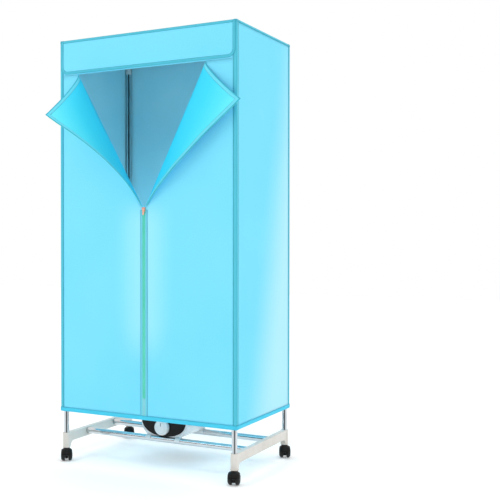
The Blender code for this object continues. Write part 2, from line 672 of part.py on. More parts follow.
def make_zip():
    """The closed chain below the door's split, the slider at its top and the slider's pull."""
    half = CHAIN_WIDTH / 2
    chain_rear = CHAIN_FRONT + CHAIN_THICKNESS
    chain_top = DOOR_SPLIT - GAP
    chain = box("zip_chain", (-half, CHAIN_FRONT, HEM_HEIGHT), (half, chain_rear, chain_top))
    finish(chain, "zip_teeth")

    half = SLIDER_WIDTH / 2
    low = SLIDER_TOP - SLIDER_LENGTH
    front_back = SLIDER_FACE + SLIDER_PLATE
    rear_near = chain_rear + SLIDER_CLEARANCE
    rear_far = rear_near + SLIDER_PLATE
    slider = box("zip_slider", (-half, SLIDER_FACE, low), (half, front_back, SLIDER_TOP))
    rear_plate = box("plate", (-half, rear_near, low), (half, rear_far, SLIDER_TOP))
    post_half = SLIDER_POST_WIDTH / 2
    post_low = SLIDER_TOP - SLIDER_POST_LENGTH
    post = box(
        "post", (-post_half, SLIDER_FACE + SLIDER_PLATE / 2, post_low),
        (post_half, rear_near + SLIDER_PLATE / 2, SLIDER_TOP - GAP),
    )
    joined(slider, post, rear_plate)
    ear_inner = PULL_WIDTH / 2 + GAP
    ear_outer = ear_inner + EAR_THICKNESS
    for sign in (-1, 1):
        near, far = sorted((sign * ear_inner, sign * ear_outer))
        ear = box(
            "ear", (near, SLIDER_FACE - EAR_HEIGHT, PULL_PIVOT_Z - EAR_LENGTH / 2),
            (far, SLIDER_FACE + SLIDER_PLATE / 2, PULL_PIVOT_Z + EAR_LENGTH / 2),
        )
        joined(slider, ear)
    reach = ear_outer + OVERRUN
    left, right = (-reach, PULL_PIVOT_Y, PULL_PIVOT_Z), (reach, PULL_PIVOT_Y, PULL_PIVOT_Z)
    cut(slider, rod("hole", left, right, PULL_PIN_RADIUS + PULL_PIN_CLEARANCE, sides=SMALL_SIDES))
    finish(slider, "zip_metal", place=(0, FRONT + CLOTH / 2, DOOR_SPLIT))

    half = PULL_WIDTH / 2
    thick = PULL_THICKNESS / 2
    pull = box(
        "zip_pull", (-half, PULL_PIVOT_Y - thick, PULL_PIVOT_Z - PULL_LENGTH),
        (half, PULL_PIVOT_Y + thick, PULL_PIVOT_Z + thick),
    )
    left, right = (-ear_outer, PULL_PIVOT_Y, PULL_PIVOT_Z), (ear_outer, PULL_PIVOT_Y, PULL_PIVOT_Z)
    joined(pull, rod("pin", left, right, PULL_PIN_RADIUS, sides=SMALL_SIDES))
    finish(pull, "zip_metal", place=(0, PULL_PIVOT_Y, PULL_PIVOT_Z))


def heater_front_outline(inset):
    """The heater seen from the front: a box with very round corners."""
    half = HEATER_WIDTH / 2 - inset
    low = HEATER_BELLY + inset
    high = HEATER_TOP - inset
    bottom = HEATER_BOTTOM_RADIUS - inset
    top = HEATER_TOP_RADIUS - inset
    steps = HEATER_CORNER_STEPS
    quarter = math.pi / 2
    points = arc((half - bottom, low + bottom), bottom, -quarter, 0, steps)
    points += arc((half - top, high - top), top, 0, quarter, steps)
    points += arc((-half + top, high - top), top, quarter, math.pi, steps)
    points += arc((-half + bottom, low + bottom), bottom, math.pi, quarter * 3, steps)
    return points


def heater_side_outline(inset):
    """The heater seen from the side: a sloping outlet face, and ledges that rest on the bars."""
    front = -HEATER_FRONT + inset
    rear = HEATER_REAR - inset
    high = HEATER_TOP - inset
    slope_turn = math.atan2(HEATER_TOP - HEATER_SLOPE_BOTTOM, HEATER_SLOPE_RUN)
    slope_shift = inset * math.tan((math.pi / 2 - slope_turn) / 2)
    top_shift = inset * math.tan(slope_turn / 2)
    radius = HEATER_REAR_RADIUS - inset
    belly = HEATER_BELLY_HALF - inset
    points = [
        (front, HEATER_LEDGE + inset),
        (-belly, HEATER_LEDGE + inset),
        (-belly, HEATER_BELLY + inset),
        (belly, HEATER_BELLY + inset),
        (belly, HEATER_LEDGE + inset),
        (rear, HEATER_LEDGE + inset),
    ]
    points += arc((rear - radius, high - radius), radius, 0, math.pi / 2, HEATER_CORNER_STEPS)
    points.append((-HEATER_FRONT + HEATER_SLOPE_RUN + top_shift, high))
    points.append((front, HEATER_SLOPE_BOTTOM - slope_shift))
    return points


def heater_form(name, inset):
    """The body that has both outlines, each offset inwards by the inset."""
    half = HEATER_WIDTH / 2 + OVERRUN
    deep = max(HEATER_FRONT, HEATER_REAR) + OVERRUN
    form = prism(name, heater_side_outline(inset), -half, half, "X")
    front = prism("front_form", heater_front_outline(inset), -deep, deep, "Y")
    return boolean(form, front, "INTERSECT")


def grille_place():
    """The middle of the sloping face, and the turn that lays a flat grille on it."""
    rise = HEATER_TOP - HEATER_SLOPE_BOTTOM
    turn = math.atan2(rise, HEATER_SLOPE_RUN)
    middle = Vector((0, -HEATER_FRONT + HEATER_SLOPE_RUN / 2, HEATER_SLOPE_BOTTOM + rise / 2))
    return Matrix.Translation(middle) @ Matrix.Rotation(turn, 4, "X")


def make_heater_shells():
    """The casing in two halves. The base has clips, pillars, and holes for what passes through."""
    wide = HEATER_WIDTH
    halves = (
        ("heater_base", HEATER_BELLY - OVERRUN, HEATER_SPLIT),
        ("heater_cover", HEATER_SPLIT + GAP, HEATER_TOP + OVERRUN),
    )
    for name, start, end in halves:
        shell = heater_form(name, 0)
        cut(shell, heater_form("hollow", HEATER_WALL))
        slab = box("slab", (-wide, -wide, start), (wide, wide, end))
        boolean(shell, slab, "INTERSECT")
    base = bpy.data.objects["heater_base"]
    cover = bpy.data.objects["heater_cover"]

    pillar_top = HEATER_SPLIT - GAP
    for sign in (-1, 1):
        middle = sign * PILLAR_SPREAD / 2
        half_x, half_y = PILLAR_SIZE[0] / 2, PILLAR_SIZE[1] / 2
        pillar = box(
            "pillar", (middle - half_x, FAN_OFFSET - half_y, HEATER_BELLY - OVERRUN),
            (middle + half_x, FAN_OFFSET + half_y, pillar_top),
        )
        boolean(pillar, heater_form("limit", HEATER_WALL / 2), "INTERSECT")
        joined(base, pillar)
    for bar_y in (-BASE_BAR_Y, BASE_BAR_Y):
        for sign in (-1, 1):
            middle = sign * CLIP_SPREAD / 2
            centre = (bar_y, BASE_BAR_HEIGHT)
            inner = BASE_BAR_RADIUS + GAP
            outer = inner + CLIP_WALL
            outline = arc(centre, outer, -CLIP_REACH, math.pi + CLIP_REACH, HOOK_STEPS)
            outline += arc(centre, inner, math.pi + CLIP_REACH, -CLIP_REACH, HOOK_STEPS)
            half = CLIP_WIDTH / 2
            joined(base, prism("clip", outline, middle - half, middle + half, "X"))

    intake_low = (0, FAN_OFFSET, HEATER_BELLY - OVERRUN)
    intake_high = (0, FAN_OFFSET, HEATER_BELLY + HEATER_WALL + OVERRUN / 2)
    cut(base, rod("intake_hole", intake_low, intake_high, INTAKE_RADIUS + GAP))
    ahead = (0, -HEATER_FRONT - OVERRUN, KNOB_HEIGHT)
    behind = (0, -HEATER_FRONT + HEATER_WALL + OVERRUN, KNOB_HEIGHT)
    cut(base, rod("shaft_hole", ahead, behind, KNOB_SHAFT_RADIUS + KNOB_SHAFT_CLEARANCE))
    inside = (GLAND_SIDE, HEATER_REAR - HEATER_WALL - OVERRUN, GLAND_HEIGHT)
    outside = (GLAND_SIDE, HEATER_REAR + OVERRUN, GLAND_HEIGHT)
    cut(base, rod("gland_hole", inside, outside, GLAND_RADIUS + GAP))
    finish(base, "heater_shell")

    half_x, half_y = GRILLE_WIDTH / 2 + GAP, GRILLE_LENGTH / 2 + GAP
    window = box("window", (-half_x, -half_y, -HEATER_WALL - OVERRUN), (half_x, half_y, OVERRUN))
    window.data.transform(grille_place())
    cut(cover, window)
    finish(cover, "heater_shell")


def make_grilles():
    """The slotted outlet on the sloping face, and the round intake that carries the motor."""
    half_x, half_y = GRILLE_WIDTH / 2, GRILLE_LENGTH / 2
    outlet = box("outlet_grille", (-half_x, -half_y, -GRILLE_THICKNESS), (half_x, half_y, 0))
    for slot in range(SLOT_COUNT):
        middle = (slot - (SLOT_COUNT - 1) / 2) * SLOT_PITCH
        low = (middle - SLOT_WIDTH / 2, -SLOT_LENGTH / 2, -GRILLE_THICKNESS - OVERRUN)
        high = (middle + SLOT_WIDTH / 2, SLOT_LENGTH / 2, OVERRUN)
        cut(outlet, box("slot", low, high))
    outlet.data.transform(grille_place())
    finish(outlet, "grille_plastic")

    low = HEATER_BELLY + GAP
    high = HEATER_BELLY + HEATER_WALL
    intake = rod("intake_grille", (0, FAN_OFFSET, low), (0, FAN_OFFSET, high), INTAKE_RADIUS)
    half = INTAKE_SLOT_WIDTH / 2
    for slot in range(INTAKE_SLOT_COUNT):
        start, end = INTAKE_HUB_RADIUS, INTAKE_RADIUS - INTAKE_RIM
        tool = box("slot", (start, -half, low - OVERRUN), (end, half, high + OVERRUN))
        turn = Matrix.Rotation(math.tau * slot / INTAKE_SLOT_COUNT, 4, "Z")
        tool.data.transform(Matrix.Translation((0, FAN_OFFSET, 0)) @ turn)
        cut(intake, tool)
    finish(intake, "grille_plastic")


def make_fascia_and_knob():
    """The black front with its round surround, the knob with its shaft, and the timer behind."""
    rear = -HEATER_FRONT - GAP
    front = rear - FASCIA_THICKNESS
    fascia = prism("heater_fascia", heater_front_outline(FASCIA_MARGIN), front, rear)
    wide = HEATER_WIDTH
    slab = box("slab", (-wide, front - OVERRUN, FASCIA_BOTTOM), (wide, rear + OVERRUN, FASCIA_TOP))
    boolean(fascia, slab, "INTERSECT")
    ring = rod("ring", (0, front, KNOB_HEIGHT), (0, rear, KNOB_HEIGHT), KNOB_RING_RADIUS)
    joined(fascia, ring)
    ahead, behind = (0, front - OVERRUN, KNOB_HEIGHT), (0, rear + OVERRUN, KNOB_HEIGHT)
    cut(fascia, rod("hole", ahead, behind, KNOB_SHAFT_RADIUS + KNOB_SHAFT_CLEARANCE))
    finish(fascia, "heater_gloss")

    timer_front = -HEATER_FRONT + HEATER_WALL + GAP
    shaft_back = timer_front - GAP
    back = front - GAP
    face = back - KNOB_DEPTH
    profile = [
        (0, -shaft_back),
        (KNOB_SHAFT_RADIUS, -shaft_back),
        (KNOB_SHAFT_RADIUS, -back),
        (KNOB_RADIUS, -back),
        (KNOB_RADIUS, -face - KNOB_EDGE),
        (KNOB_RADIUS - KNOB_EDGE, -face),
        (KNOB_FACE_RADIUS, -face),
        (KNOB_FACE_RADIUS - KNOB_RECESS, -face - KNOB_RECESS),
        (0, -face - KNOB_RECESS),
    ]
    knob = turned("timer_knob", profile)
    knob.data.transform(Matrix.Translation((0, 0, KNOB_HEIGHT)) @ Matrix.Rotation(math.pi / 2, 4, "X"))
    finish(knob, "knob_plastic", place=(0, back, KNOB_HEIGHT))

    half_x, half_z = TIMER_SIZE[0] / 2, TIMER_SIZE[2] / 2
    timer = box(
        "timer_unit", (-half_x, timer_front, KNOB_HEIGHT - half_z),
        (half_x, timer_front + TIMER_SIZE[1], KNOB_HEIGHT + half_z),
    )
    finish(timer, "timer_case")


def make_fan():
    """The motor on the intake's hub, and the impeller on the motor's shaft."""
    low = HEATER_BELLY + HEATER_WALL + GAP
    high = low + MOTOR_HEIGHT
    hub_low = high + FAN_LIFT
    hub_high = hub_low + FAN_HUB_HEIGHT
    motor = rod("fan_motor", (0, FAN_OFFSET, low), (0, FAN_OFFSET, high), MOTOR_RADIUS)
    shaft = rod("shaft", (0, FAN_OFFSET, high - OVERRUN), (0, FAN_OFFSET, hub_high), MOTOR_SHAFT_RADIUS)
    joined(motor, shaft)
    finish(motor, "motor_steel")

    impeller = rod("fan_impeller", (0, FAN_OFFSET, hub_low), (0, FAN_OFFSET, hub_high), FAN_HUB_RADIUS)
    blade_start = FAN_HUB_RADIUS - FAN_BLADE_ROOT
    half_chord = FAN_HUB_HEIGHT / 2
    half_thick = FAN_BLADE_THICKNESS / 2
    for number in range(FAN_BLADE_COUNT):
        blade = box("blade", (blade_start, -half_thick, -half_chord), (FAN_RADIUS, half_thick, half_chord))
        blade.data.transform(Matrix.Rotation(FAN_BLADE_PITCH, 4, "X"))
        turn = Matrix.Rotation(math.tau * number / FAN_BLADE_COUNT, 4, "Z")
        blade.data.transform(Matrix.Translation((0, FAN_OFFSET, (hub_low + hub_high) / 2)) @ turn)
        joined(impeller, blade)
    bore_low = (0, FAN_OFFSET, hub_low - OVERRUN)
    bore_high = (0, FAN_OFFSET, hub_high + OVERRUN)
    cut(impeller, rod("bore", bore_low, bore_high, MOTOR_SHAFT_RADIUS + GAP))
    finish(impeller, "fan_plastic", place=(0, FAN_OFFSET, hub_low))


def make_element():
    """The finned heating element. Its ears rest on the base's pillars."""
    low = HEATER_SPLIT
    half_x, half_y = ELEMENT_SIZE[0] / 2, ELEMENT_SIZE[1] / 2
    element = box(
        "heating_element", (-half_x, FAN_OFFSET - half_y, low),
        (half_x, FAN_OFFSET + half_y, low + ELEMENT_SIZE[2]),
    )
    ear_reach = half_x + ELEMENT_EAR[0] / 2
    ear_half = ELEMENT_EAR[1] / 2
    ears = box(
        "ears", (-ear_reach, FAN_OFFSET - ear_half, low),
        (ear_reach, FAN_OFFSET + ear_half, low + ELEMENT_EAR[2]),
    )
    joined(element, ears)
    pitch = ELEMENT_SIZE[0] / (ELEMENT_FIN_COUNT + 1)
    slot_half = ELEMENT_SIZE[1] / 2 - ELEMENT_FIN_GAP
    for number in range(ELEMENT_FIN_COUNT):
        middle = (number - (ELEMENT_FIN_COUNT - 1) / 2) * pitch
        slot = box(
            "slot", (middle - ELEMENT_FIN_GAP / 2, FAN_OFFSET - slot_half, low - OVERRUN),
            (middle + ELEMENT_FIN_GAP / 2, FAN_OFFSET + slot_half, low + ELEMENT_SIZE[2] + OVERRUN),
        )
        cut(element, slot)
    finish(element, "element_aluminium")


def make_gland():
    """The rubber gland in the heater's rear wall, with its bore for the lead."""
    start = -(HEATER_REAR + GAP + GLAND_FLANGE)
    profile = [
        (GLAND_BORE_RADIUS, start),
        (GLAND_FLANGE_RADIUS, start),
        (GLAND_FLANGE_RADIUS, start + GLAND_FLANGE),
        (GLAND_RADIUS, start + GLAND_FLANGE),
        (GLAND_RADIUS, start + GLAND_FLANGE + GLAND_LENGTH),
        (GLAND_BORE_RADIUS, start + GLAND_FLANGE + GLAND_LENGTH),
        (GLAND_BORE_RADIUS, start),
    ]
    gland = turned("cord_gland", profile)
    turn = Matrix.Rotation(math.pi / 2, 4, "X")
    gland.data.transform(Matrix.Translation((GLAND_SIDE, 0, GLAND_HEIGHT)) @ turn)
    finish(gland, "gland_rubber")


for leftover in list(bpy.data.objects):
    bpy.data.objects.remove(leftover, do_unlink=True)
MATERIALS = {name: material(name, *values) for name, values in FINISHES.items()}

# The open corners reach past the cabinet in front and to the right
TIP_LEFT = flap_point(-1, FOLD_TOP_LEFT, FLAP_TURN_LEFT, *flap_tip(-1, FOLD_TOP_LEFT), 0)
TIP_RIGHT = flap_point(1, FOLD_TOP_RIGHT, FLAP_TURN_RIGHT, *flap_tip(1, FOLD_TOP_RIGHT), 0)
WIDEST_RIGHT = max(CABINET_WIDTH / 2, TIP_RIGHT.x)
ORIGIN_SHIFT = Vector((
    (CABINET_WIDTH / 2 - WIDEST_RIGHT) / 2,
    -(CABINET_DEPTH / 2 + TIP_LEFT.y) / 2,
    0,
))
ASSEMBLY = bpy.data.objects.new("assembly", None)
bpy.context.collection.objects.link(ASSEMBLY)

for side_name, side_sign in SIDES.items():
    make_foot(side_name, side_sign)
make_base_bars()
make_posts()
for corner_name, (corner_across, corner_along) in CORNERS.items():
    make_caster(corner_name, corner_across, corner_along)
    make_mid_connector(corner_name, corner_across, corner_along)
    make_top_corner(corner_name, corner_across, corner_along)
make_frame_bars()
make_hanging_rod("mid_hanging_rod", MID_HEIGHT)
make_hanging_rod("top_hanging_rod", TOP_BAR_HEIGHT)
make_cover()
make_valance()
make_flap("left", -1, FOLD_TOP_LEFT, FLAP_TURN_LEFT)
make_flap("right", 1, FOLD_TOP_RIGHT, FLAP_TURN_RIGHT)
make_zip()
make_heater_shells()
make_grilles()
make_fascia_and_knob()
make_fan()
make_element()
make_gland()
ASSEMBLY.location = ORIGIN_SHIFT
bpy.context.view_layer.update()
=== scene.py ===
"""The looks of the portable clothes dryer: sewn cover, chromed tubes, casters and fan heater.

Metres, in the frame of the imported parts. Places are given from the middle of the cabinet,
with the door towards -Y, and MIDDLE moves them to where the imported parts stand.
"""
import bmesh
import bpy
import json
from math import atan2, copysign, cos, exp, pi, radians, sin, tau
from mathutils import Matrix, Vector, noise


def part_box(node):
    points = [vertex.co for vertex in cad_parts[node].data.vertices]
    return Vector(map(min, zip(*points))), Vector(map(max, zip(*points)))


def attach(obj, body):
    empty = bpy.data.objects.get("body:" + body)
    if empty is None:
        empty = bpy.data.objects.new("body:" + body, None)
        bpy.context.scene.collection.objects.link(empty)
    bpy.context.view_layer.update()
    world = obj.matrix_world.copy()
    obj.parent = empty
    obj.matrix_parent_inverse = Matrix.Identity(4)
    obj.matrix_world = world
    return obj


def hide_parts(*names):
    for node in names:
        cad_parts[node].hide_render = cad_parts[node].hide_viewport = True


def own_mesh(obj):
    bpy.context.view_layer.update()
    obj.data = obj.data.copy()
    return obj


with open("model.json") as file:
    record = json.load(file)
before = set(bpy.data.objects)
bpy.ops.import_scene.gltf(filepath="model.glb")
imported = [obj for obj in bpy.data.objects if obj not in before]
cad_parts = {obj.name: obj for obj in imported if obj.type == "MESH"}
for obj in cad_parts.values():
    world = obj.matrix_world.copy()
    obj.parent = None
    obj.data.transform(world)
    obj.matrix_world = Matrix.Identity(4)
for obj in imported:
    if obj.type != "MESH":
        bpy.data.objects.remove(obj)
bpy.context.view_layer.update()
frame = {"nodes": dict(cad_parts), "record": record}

# Sizes, in metres
top_low, top_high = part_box("cover_top")
MIDDLE = Vector(((top_low.x + top_high.x) / 2, (top_low.y + top_high.y) / 2, 0))
HALF_X = (top_high.x - top_low.x) / 2
HALF_Y = (top_high.y - top_low.y) / 2
TOP = top_high.z
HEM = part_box("cover_left")[0].z
DOOR_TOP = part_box("door_left")[1].z
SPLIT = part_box("zip_chain")[1].z + 0.0003
FRONT = -HALF_Y
UP, AHEAD = Vector((0, 0, 1)), Vector((0, -1, 0))
RUNS = [Vector(way) for way in ((1, 0, 0), (0, 1, 0), (-1, 0, 0), (0, -1, 0))]  # front first

CLOTH = 0.0010                  # coated polyester
CLOTH_MIDDLE = 0.0006           # from a panel's outer face to the middle of its cloth
PANEL_INSET = 0.0008            # a panel ends this far inside the cabinet's edge
EDGE_RADIUS = 0.0018            # of the cloth and its binding over an edge
TAPE = 0.0006                   # a sewn tape's thickness
TAPE_LIFT = 0.0005              # from the cloth's face to the middle of a tape on it
BINDING = 0.0130                # binding along the upright corners, on each face
TOP_BINDING = 0.0085
HEM_TAPE = 0.0140
HEM_LIFT = 0.0012               # the hem's tape lies over the binding and the zip's tape
ZIP_TAPE = 0.0145               # from the zip's middle to its tape's edge
ZIP_END = 0.072                 # the coil stops here above the hem, in a stiff film
CHAIN_SIDE = 0.0043
COIL_SIDE = 0.0017
STITCH_INSET = 0.0020
STITCH_LIFT = TAPE / 2 + 0.0001
STITCH_PITCH = 0.0055
STITCH = (0.0034, 0.0007, 0.0005)
TOOTH_PITCH = 0.0022
TOOTH = (0.0015, 0.0040, 0.0022)
FLAP_TOOTH = (0.0015, 0.0024, 0.0020)
MERGE = 0.00001                 # points closer than this are one

FOLD_TOP = {-1: 0.274, 1: 0.239}
FOLD_TURN = {-1: radians(111), 1: radians(171)}
TIP_RISE_SHARE = {-1: 0.950, 1: 1.096}
TIP_REACH_SHARE = {-1: 0.926, 1: 0.908}
ZIP_EDGE_HOLLOW = {-1: 1.06, 1: 1.04}
TOP_EDGE_HOLLOW = {-1: 1.20, 1: 1.50}
EDGE_SWELL = {-1: 0.042, 1: 0.026}   # how far the zip's edge bellies to the coated side
FLAP_MARGIN = 0.004
FLAP_START = 0.014
FLAP_BAND = 0.0125
FLAP_BOW = 0.010
FLAP_CURL = 0.006
FLAP_STEPS = 34                 # along the corner's zip edge

VALANCE_DROP = 0.120
VALANCE_CORNER = 0.0275
VALANCE_HALF = HALF_X - 0.004
VALANCE_BORDER = 0.0095

MID_BARS = 0.775                # height of the bars at half height
BASE_BARS = (-0.080, 0.080)     # from the middle, front and rear
FOOT_FACE = 0.0098              # from a foot's middle to its flat inner face
FOOT_VOXEL = 0.0011
COLLAR_SEAT = 0.0447
HOOD_ARC = (52, 168)            # degrees round the caster's axle, from the stem's side
HOOD_RADIUS = 0.0236
HOOD_HALF = 0.0195
WEB_HALF = 0.0050

FASCIA_SIDES = 72
FASCIA_CROWN = 0.012            # the black front's height above its widest place
FASCIA_ROUNDNESS = 2 / 2.3      # 1 is an ellipse, and less is squarer
KNOB_RIM = 0.0272
KNOB_DEPTH = 0.0165
KNOB_RIBS = 44

SIDES = {"left": -1, "right": 1}
CORNERS = ("front_left", "front_right", "rear_left", "rear_right")
JOINTS = {joint["name"]: joint for joint in frame["record"]["behaviour"]["joints"]}
PIECES, SHEETS = [], []


# Materials
def linear(hex_colour):
    """An sRGB hex colour as the linear numbers that a shader reads."""
    parts = [int(hex_colour[start:start + 2], 16) / 255 for start in (1, 3, 5)]
    return (*[s / 12.92 if s <= 0.04045 else ((s + 0.055) / 1.055) ** 2.4 for s in parts], 1.0)


def socket(sockets, key):
    """The socket with that identifier, or else with that name."""
    return next((found for found in sockets if found.identifier == key), None) or sockets[key]


def add(tree, kind, settings=None, links=None):
    """One node, with its settings and with links into it from other sockets.
    A colour ramp's stops are (place, hex colour)."""
    node = tree.nodes.new(kind)
    for key, value in (settings or {}).items():
        if key == "stops":
            while len(node.color_ramp.elements) < len(value):
                node.color_ramp.elements.new(0.5)
            for element, (place, hex_colour) in zip(node.color_ramp.elements, value):
                element.position = place
                element.color = linear(hex_colour)
        elif hasattr(node, key):
            setattr(node, key, value)
        else:
            socket(node.inputs, key).default_value = value
    for key, source in (links or {}).items():
        tree.links.new(source, socket(node.inputs, key))
    return node


def new_material(name, settings):
    """A material with one shader, whose fixed numbers stand on the shader's own sockets."""
    material = bpy.data.materials.new(name)
    material.use_nodes = True
    tree = material.node_tree
    tree.nodes.clear()
    shader = add(tree, "ShaderNodeBsdfPrincipled", settings)
    add(tree, "ShaderNodeOutputMaterial", links={"Surface": shader.outputs[0]})
    return material, tree, shader


def finish(tree, shader, colour, marks, roughness, relief):
    """Joins the colour to the shader. The fine marks turn the roughness, from their hollows to
    their tops, and give the relief, as its strength and its depth."""
    rough = add(tree, "ShaderNodeMapRange", {"To Min": roughness[0], "To Max": roughness[1]},
                {"Value": marks})
    bump = add(tree, "ShaderNodeBump", {"Strength": relief[0], "Distance": relief[1]},
               {"Height": marks})
    tree.links.new(colour, shader.inputs["Base Color"])
    tree.links.new(rough.outputs[0], shader.inputs["Roughness"])
    tree.links.new(bump.outputs[0], shader.inputs["Normal"])


def drifting(tree, places, scale, detail, light, deep):
    """A colour that drifts slowly over a piece between two close shades."""
    drift = add(tree, "ShaderNodeTexNoise", {"Scale": scale, "Detail": detail}, {"Vector": places})
    return add(tree, "ShaderNodeValToRGB", {"stops": ((0.35, deep), (0.65, light))},
               {"Fac": drift.outputs["Fac"]}).outputs["Color"]


def shaded(tree, colour, marks, low, high):
    """The colour, darker where the marks are low and lighter where they are high: on a tape's
    ribs this is painted shade in their hollows and painted light on their tops.
    """
    shade = add(tree, "ShaderNodeMapRange", {"To Min": low, "To Max": high}, {"Value": marks})
    return add(tree, "ShaderNodeHueSaturation", {},
               {"Value": shade.outputs[0], "Color": colour}).outputs["Color"]


def period_scale(millimetres):
    """The wave texture's scale that repeats every so many millimetres."""
    return tau / 20 / (millimetres / 1000)


def smooth_share(tree, places, steps, tilt=0.0):
    """A share from 0 to 1: the product of smooth steps, each (axis, start, end, middle).
    With a middle, the step runs by the distance from there, the same on both its sides.
    A tilt leans the steps back about the X axis."""
    leant = add(tree, "ShaderNodeMapping", {"Rotation": (tilt, 0, 0)}, {"Vector": places})
    parts = add(tree, "ShaderNodeSeparateXYZ", {}, {"Vector": leant.outputs[0]})
    share = None
    for axis, start, end, middle in steps:
        value = parts.outputs[axis]
        if middle is not None:
            away = add(tree, "ShaderNodeMath", {"operation": "SUBTRACT", "Value_001": middle},
                       {"Value": value})
            value = add(tree, "ShaderNodeMath", {"operation": "ABSOLUTE"},
                        {"Value": away.outputs[0]}).outputs[0]
        step = add(tree, "ShaderNodeMapRange", {
            "interpolation_type": "SMOOTHSTEP", "From Min": start, "From Max": end,
        }, {"Value": value}).outputs[0]
        if share is not None:
            step = add(tree, "ShaderNodeMath", {"operation": "MULTIPLY"},
                       {"Value": share, "Value_001": step}).outputs[0]
        share = step
    return share


def woven_polyester(name, light, deep, pale=None, steps=(), tilt=0.0):
    """Plain-woven polyester with a thin coating: matt, a fine weave, a faint sheen at the edges.
    Real threads are about 0.3 mm apart, too fine to show, so they are drawn 2.2 mm apart.
    Where light would come through from inside, the cloth is painted paler as painted light, by the
    share the steps give."""
    material, tree, shader = new_material(name, {
        "Roughness": 0.62, "IOR": 1.46, "Sheen Weight": 0.06, "Sheen Roughness": 0.4,
        "Specular IOR Level": 0.18,
    })
    places = add(tree, "ShaderNodeTexCoord").outputs["Object"]
    weave = add(tree, "ShaderNodeUVMap", {"uv_map": "weave"}).outputs["UV"]
    warp, weft = [add(tree, "ShaderNodeTexWave", {
        "bands_direction": direction, "Scale": period_scale(2.2), "Distortion": 0.6,
        "Detail": 1.0, "Detail Scale": 2.0,
    }, {"Vector": weave}).outputs["Fac"] for direction in ("X", "Y")]
    crossed = add(tree, "ShaderNodeMath", {"operation": "MULTIPLY"},
                  {"Value": warp, "Value_001": weft}).outputs[0]
    slub = add(tree, "ShaderNodeTexNoise", {"Scale": 240.0, "Detail": 2.0}, {"Vector": weave})
    tint = drifting(tree, places, 3.2, 2.0, light, deep)
    colour = shaded(tree, tint, slub.outputs["Fac"], 0.93, 1.05)
    # Painted light: mixes the colour towards the paler one by the steps' share
    if pale:
        mixed = add(tree, "ShaderNodeMix", {"data_type": "RGBA", "B_Color": linear(pale)}, {
            "Factor_Float": smooth_share(tree, places, steps, tilt), "A_Color": colour})
        colour = socket(mixed.outputs, "Result_Color")
    finish(tree, shader, colour, crossed, (0.70, 0.54), (0.35, 0.00025))
    return material


def flap_lining(name):
    """The coated inner side of the door cloth: the same polyester with a glossier acrylic
    coating; its colour is painted shade, deep cyan near the fold and paler out towards the free
    corner."""
    material, tree, shader = new_material(name, {
        "IOR": 1.49, "Sheen Weight": 0.04, "Sheen Roughness": 0.4, "Specular IOR Level": 0.22,
    })
    reach = add(tree, "ShaderNodeAttribute", {"attribute_name": "from_fold"})
    places = add(tree, "ShaderNodeTexCoord").outputs["Object"]
    drift = add(tree, "ShaderNodeTexNoise", {"Scale": 9.0, "Detail": 3.0}, {"Vector": places})
    mixed = add(tree, "ShaderNodeMath", {"operation": "MULTIPLY_ADD", "Value_001": 0.16},
                {"Value": drift.outputs["Fac"], "Value_002": reach.outputs["Fac"]})
    # Painted shade: deep cyan close to the fold, paler out towards the corner's tip
    colour = add(tree, "ShaderNodeValToRGB", {"stops": (
        (0.06, "#30D6FC"), (0.42, "#3CDCFA"), (0.78, "#56E6FA"), (1.0, "#68EDFB"))},
        {"Fac": mixed.outputs[0]})
    coat = add(tree, "ShaderNodeTexNoise", {"Scale": 420.0, "Detail": 3.0}, {"Vector": places})
    finish(tree, shader, colour.outputs["Color"], coat.outputs["Fac"], (0.42, 0.56),
           (0.2, 0.0003))
    return material


def sewn_tape(name, rib_mm, stops):
    """Folded polyester tape: matt, ribs across it, and painted shade darkening it along its edges.
    The map's first number runs across the tape from 0 to 1, its second along it in metres."""
    material, tree, shader = new_material(name, {
        "IOR": 1.46, "Sheen Weight": 0.06, "Sheen Roughness": 0.35, "Specular IOR Level": 0.2,
    })
    weave = add(tree, "ShaderNodeUVMap", {"uv_map": "weave"}).outputs["UV"]
    parts = add(tree, "ShaderNodeSeparateXYZ", {}, {"Vector": weave})
    # Painted shade: the stops darken each tape towards its edges
    colour = add(tree, "ShaderNodeValToRGB", {"stops": stops}, {"Fac": parts.outputs["X"]})
    ribs = add(tree, "ShaderNodeTexWave", {
        "bands_direction": "Y", "Scale": period_scale(rib_mm), "Distortion": 0.4,
    }, {"Vector": weave}).outputs["Fac"]
    # Painted shade in the ribs' hollows and painted light on their tops
    finish(tree, shader, shaded(tree, colour.outputs["Color"], ribs, 0.94, 1.04), ribs,
           (0.68, 0.55), (0.4, 0.0002))
    return material


def moulded_plastic(name, light, deep, roughness, grain_mm, relief_mm, specular=0.5):
    """Injection-moulded plastic: an even colour with a slow drift, and the mould's spark grain."""
    material, tree, shader = new_material(name, {"IOR": 1.50, "Specular IOR Level": specular})
    places = add(tree, "ShaderNodeTexCoord").outputs["Object"]
    grain = add(tree, "ShaderNodeTexNoise", {"Scale": 1000 / grain_mm, "Detail": 2.0},
                {"Vector": places})
    colour = drifting(tree, places, 14.0, 3.0, light, deep)
    finish(tree, shader, colour, grain.outputs["Fac"], roughness, (0.5, relief_mm / 1000))
    return material


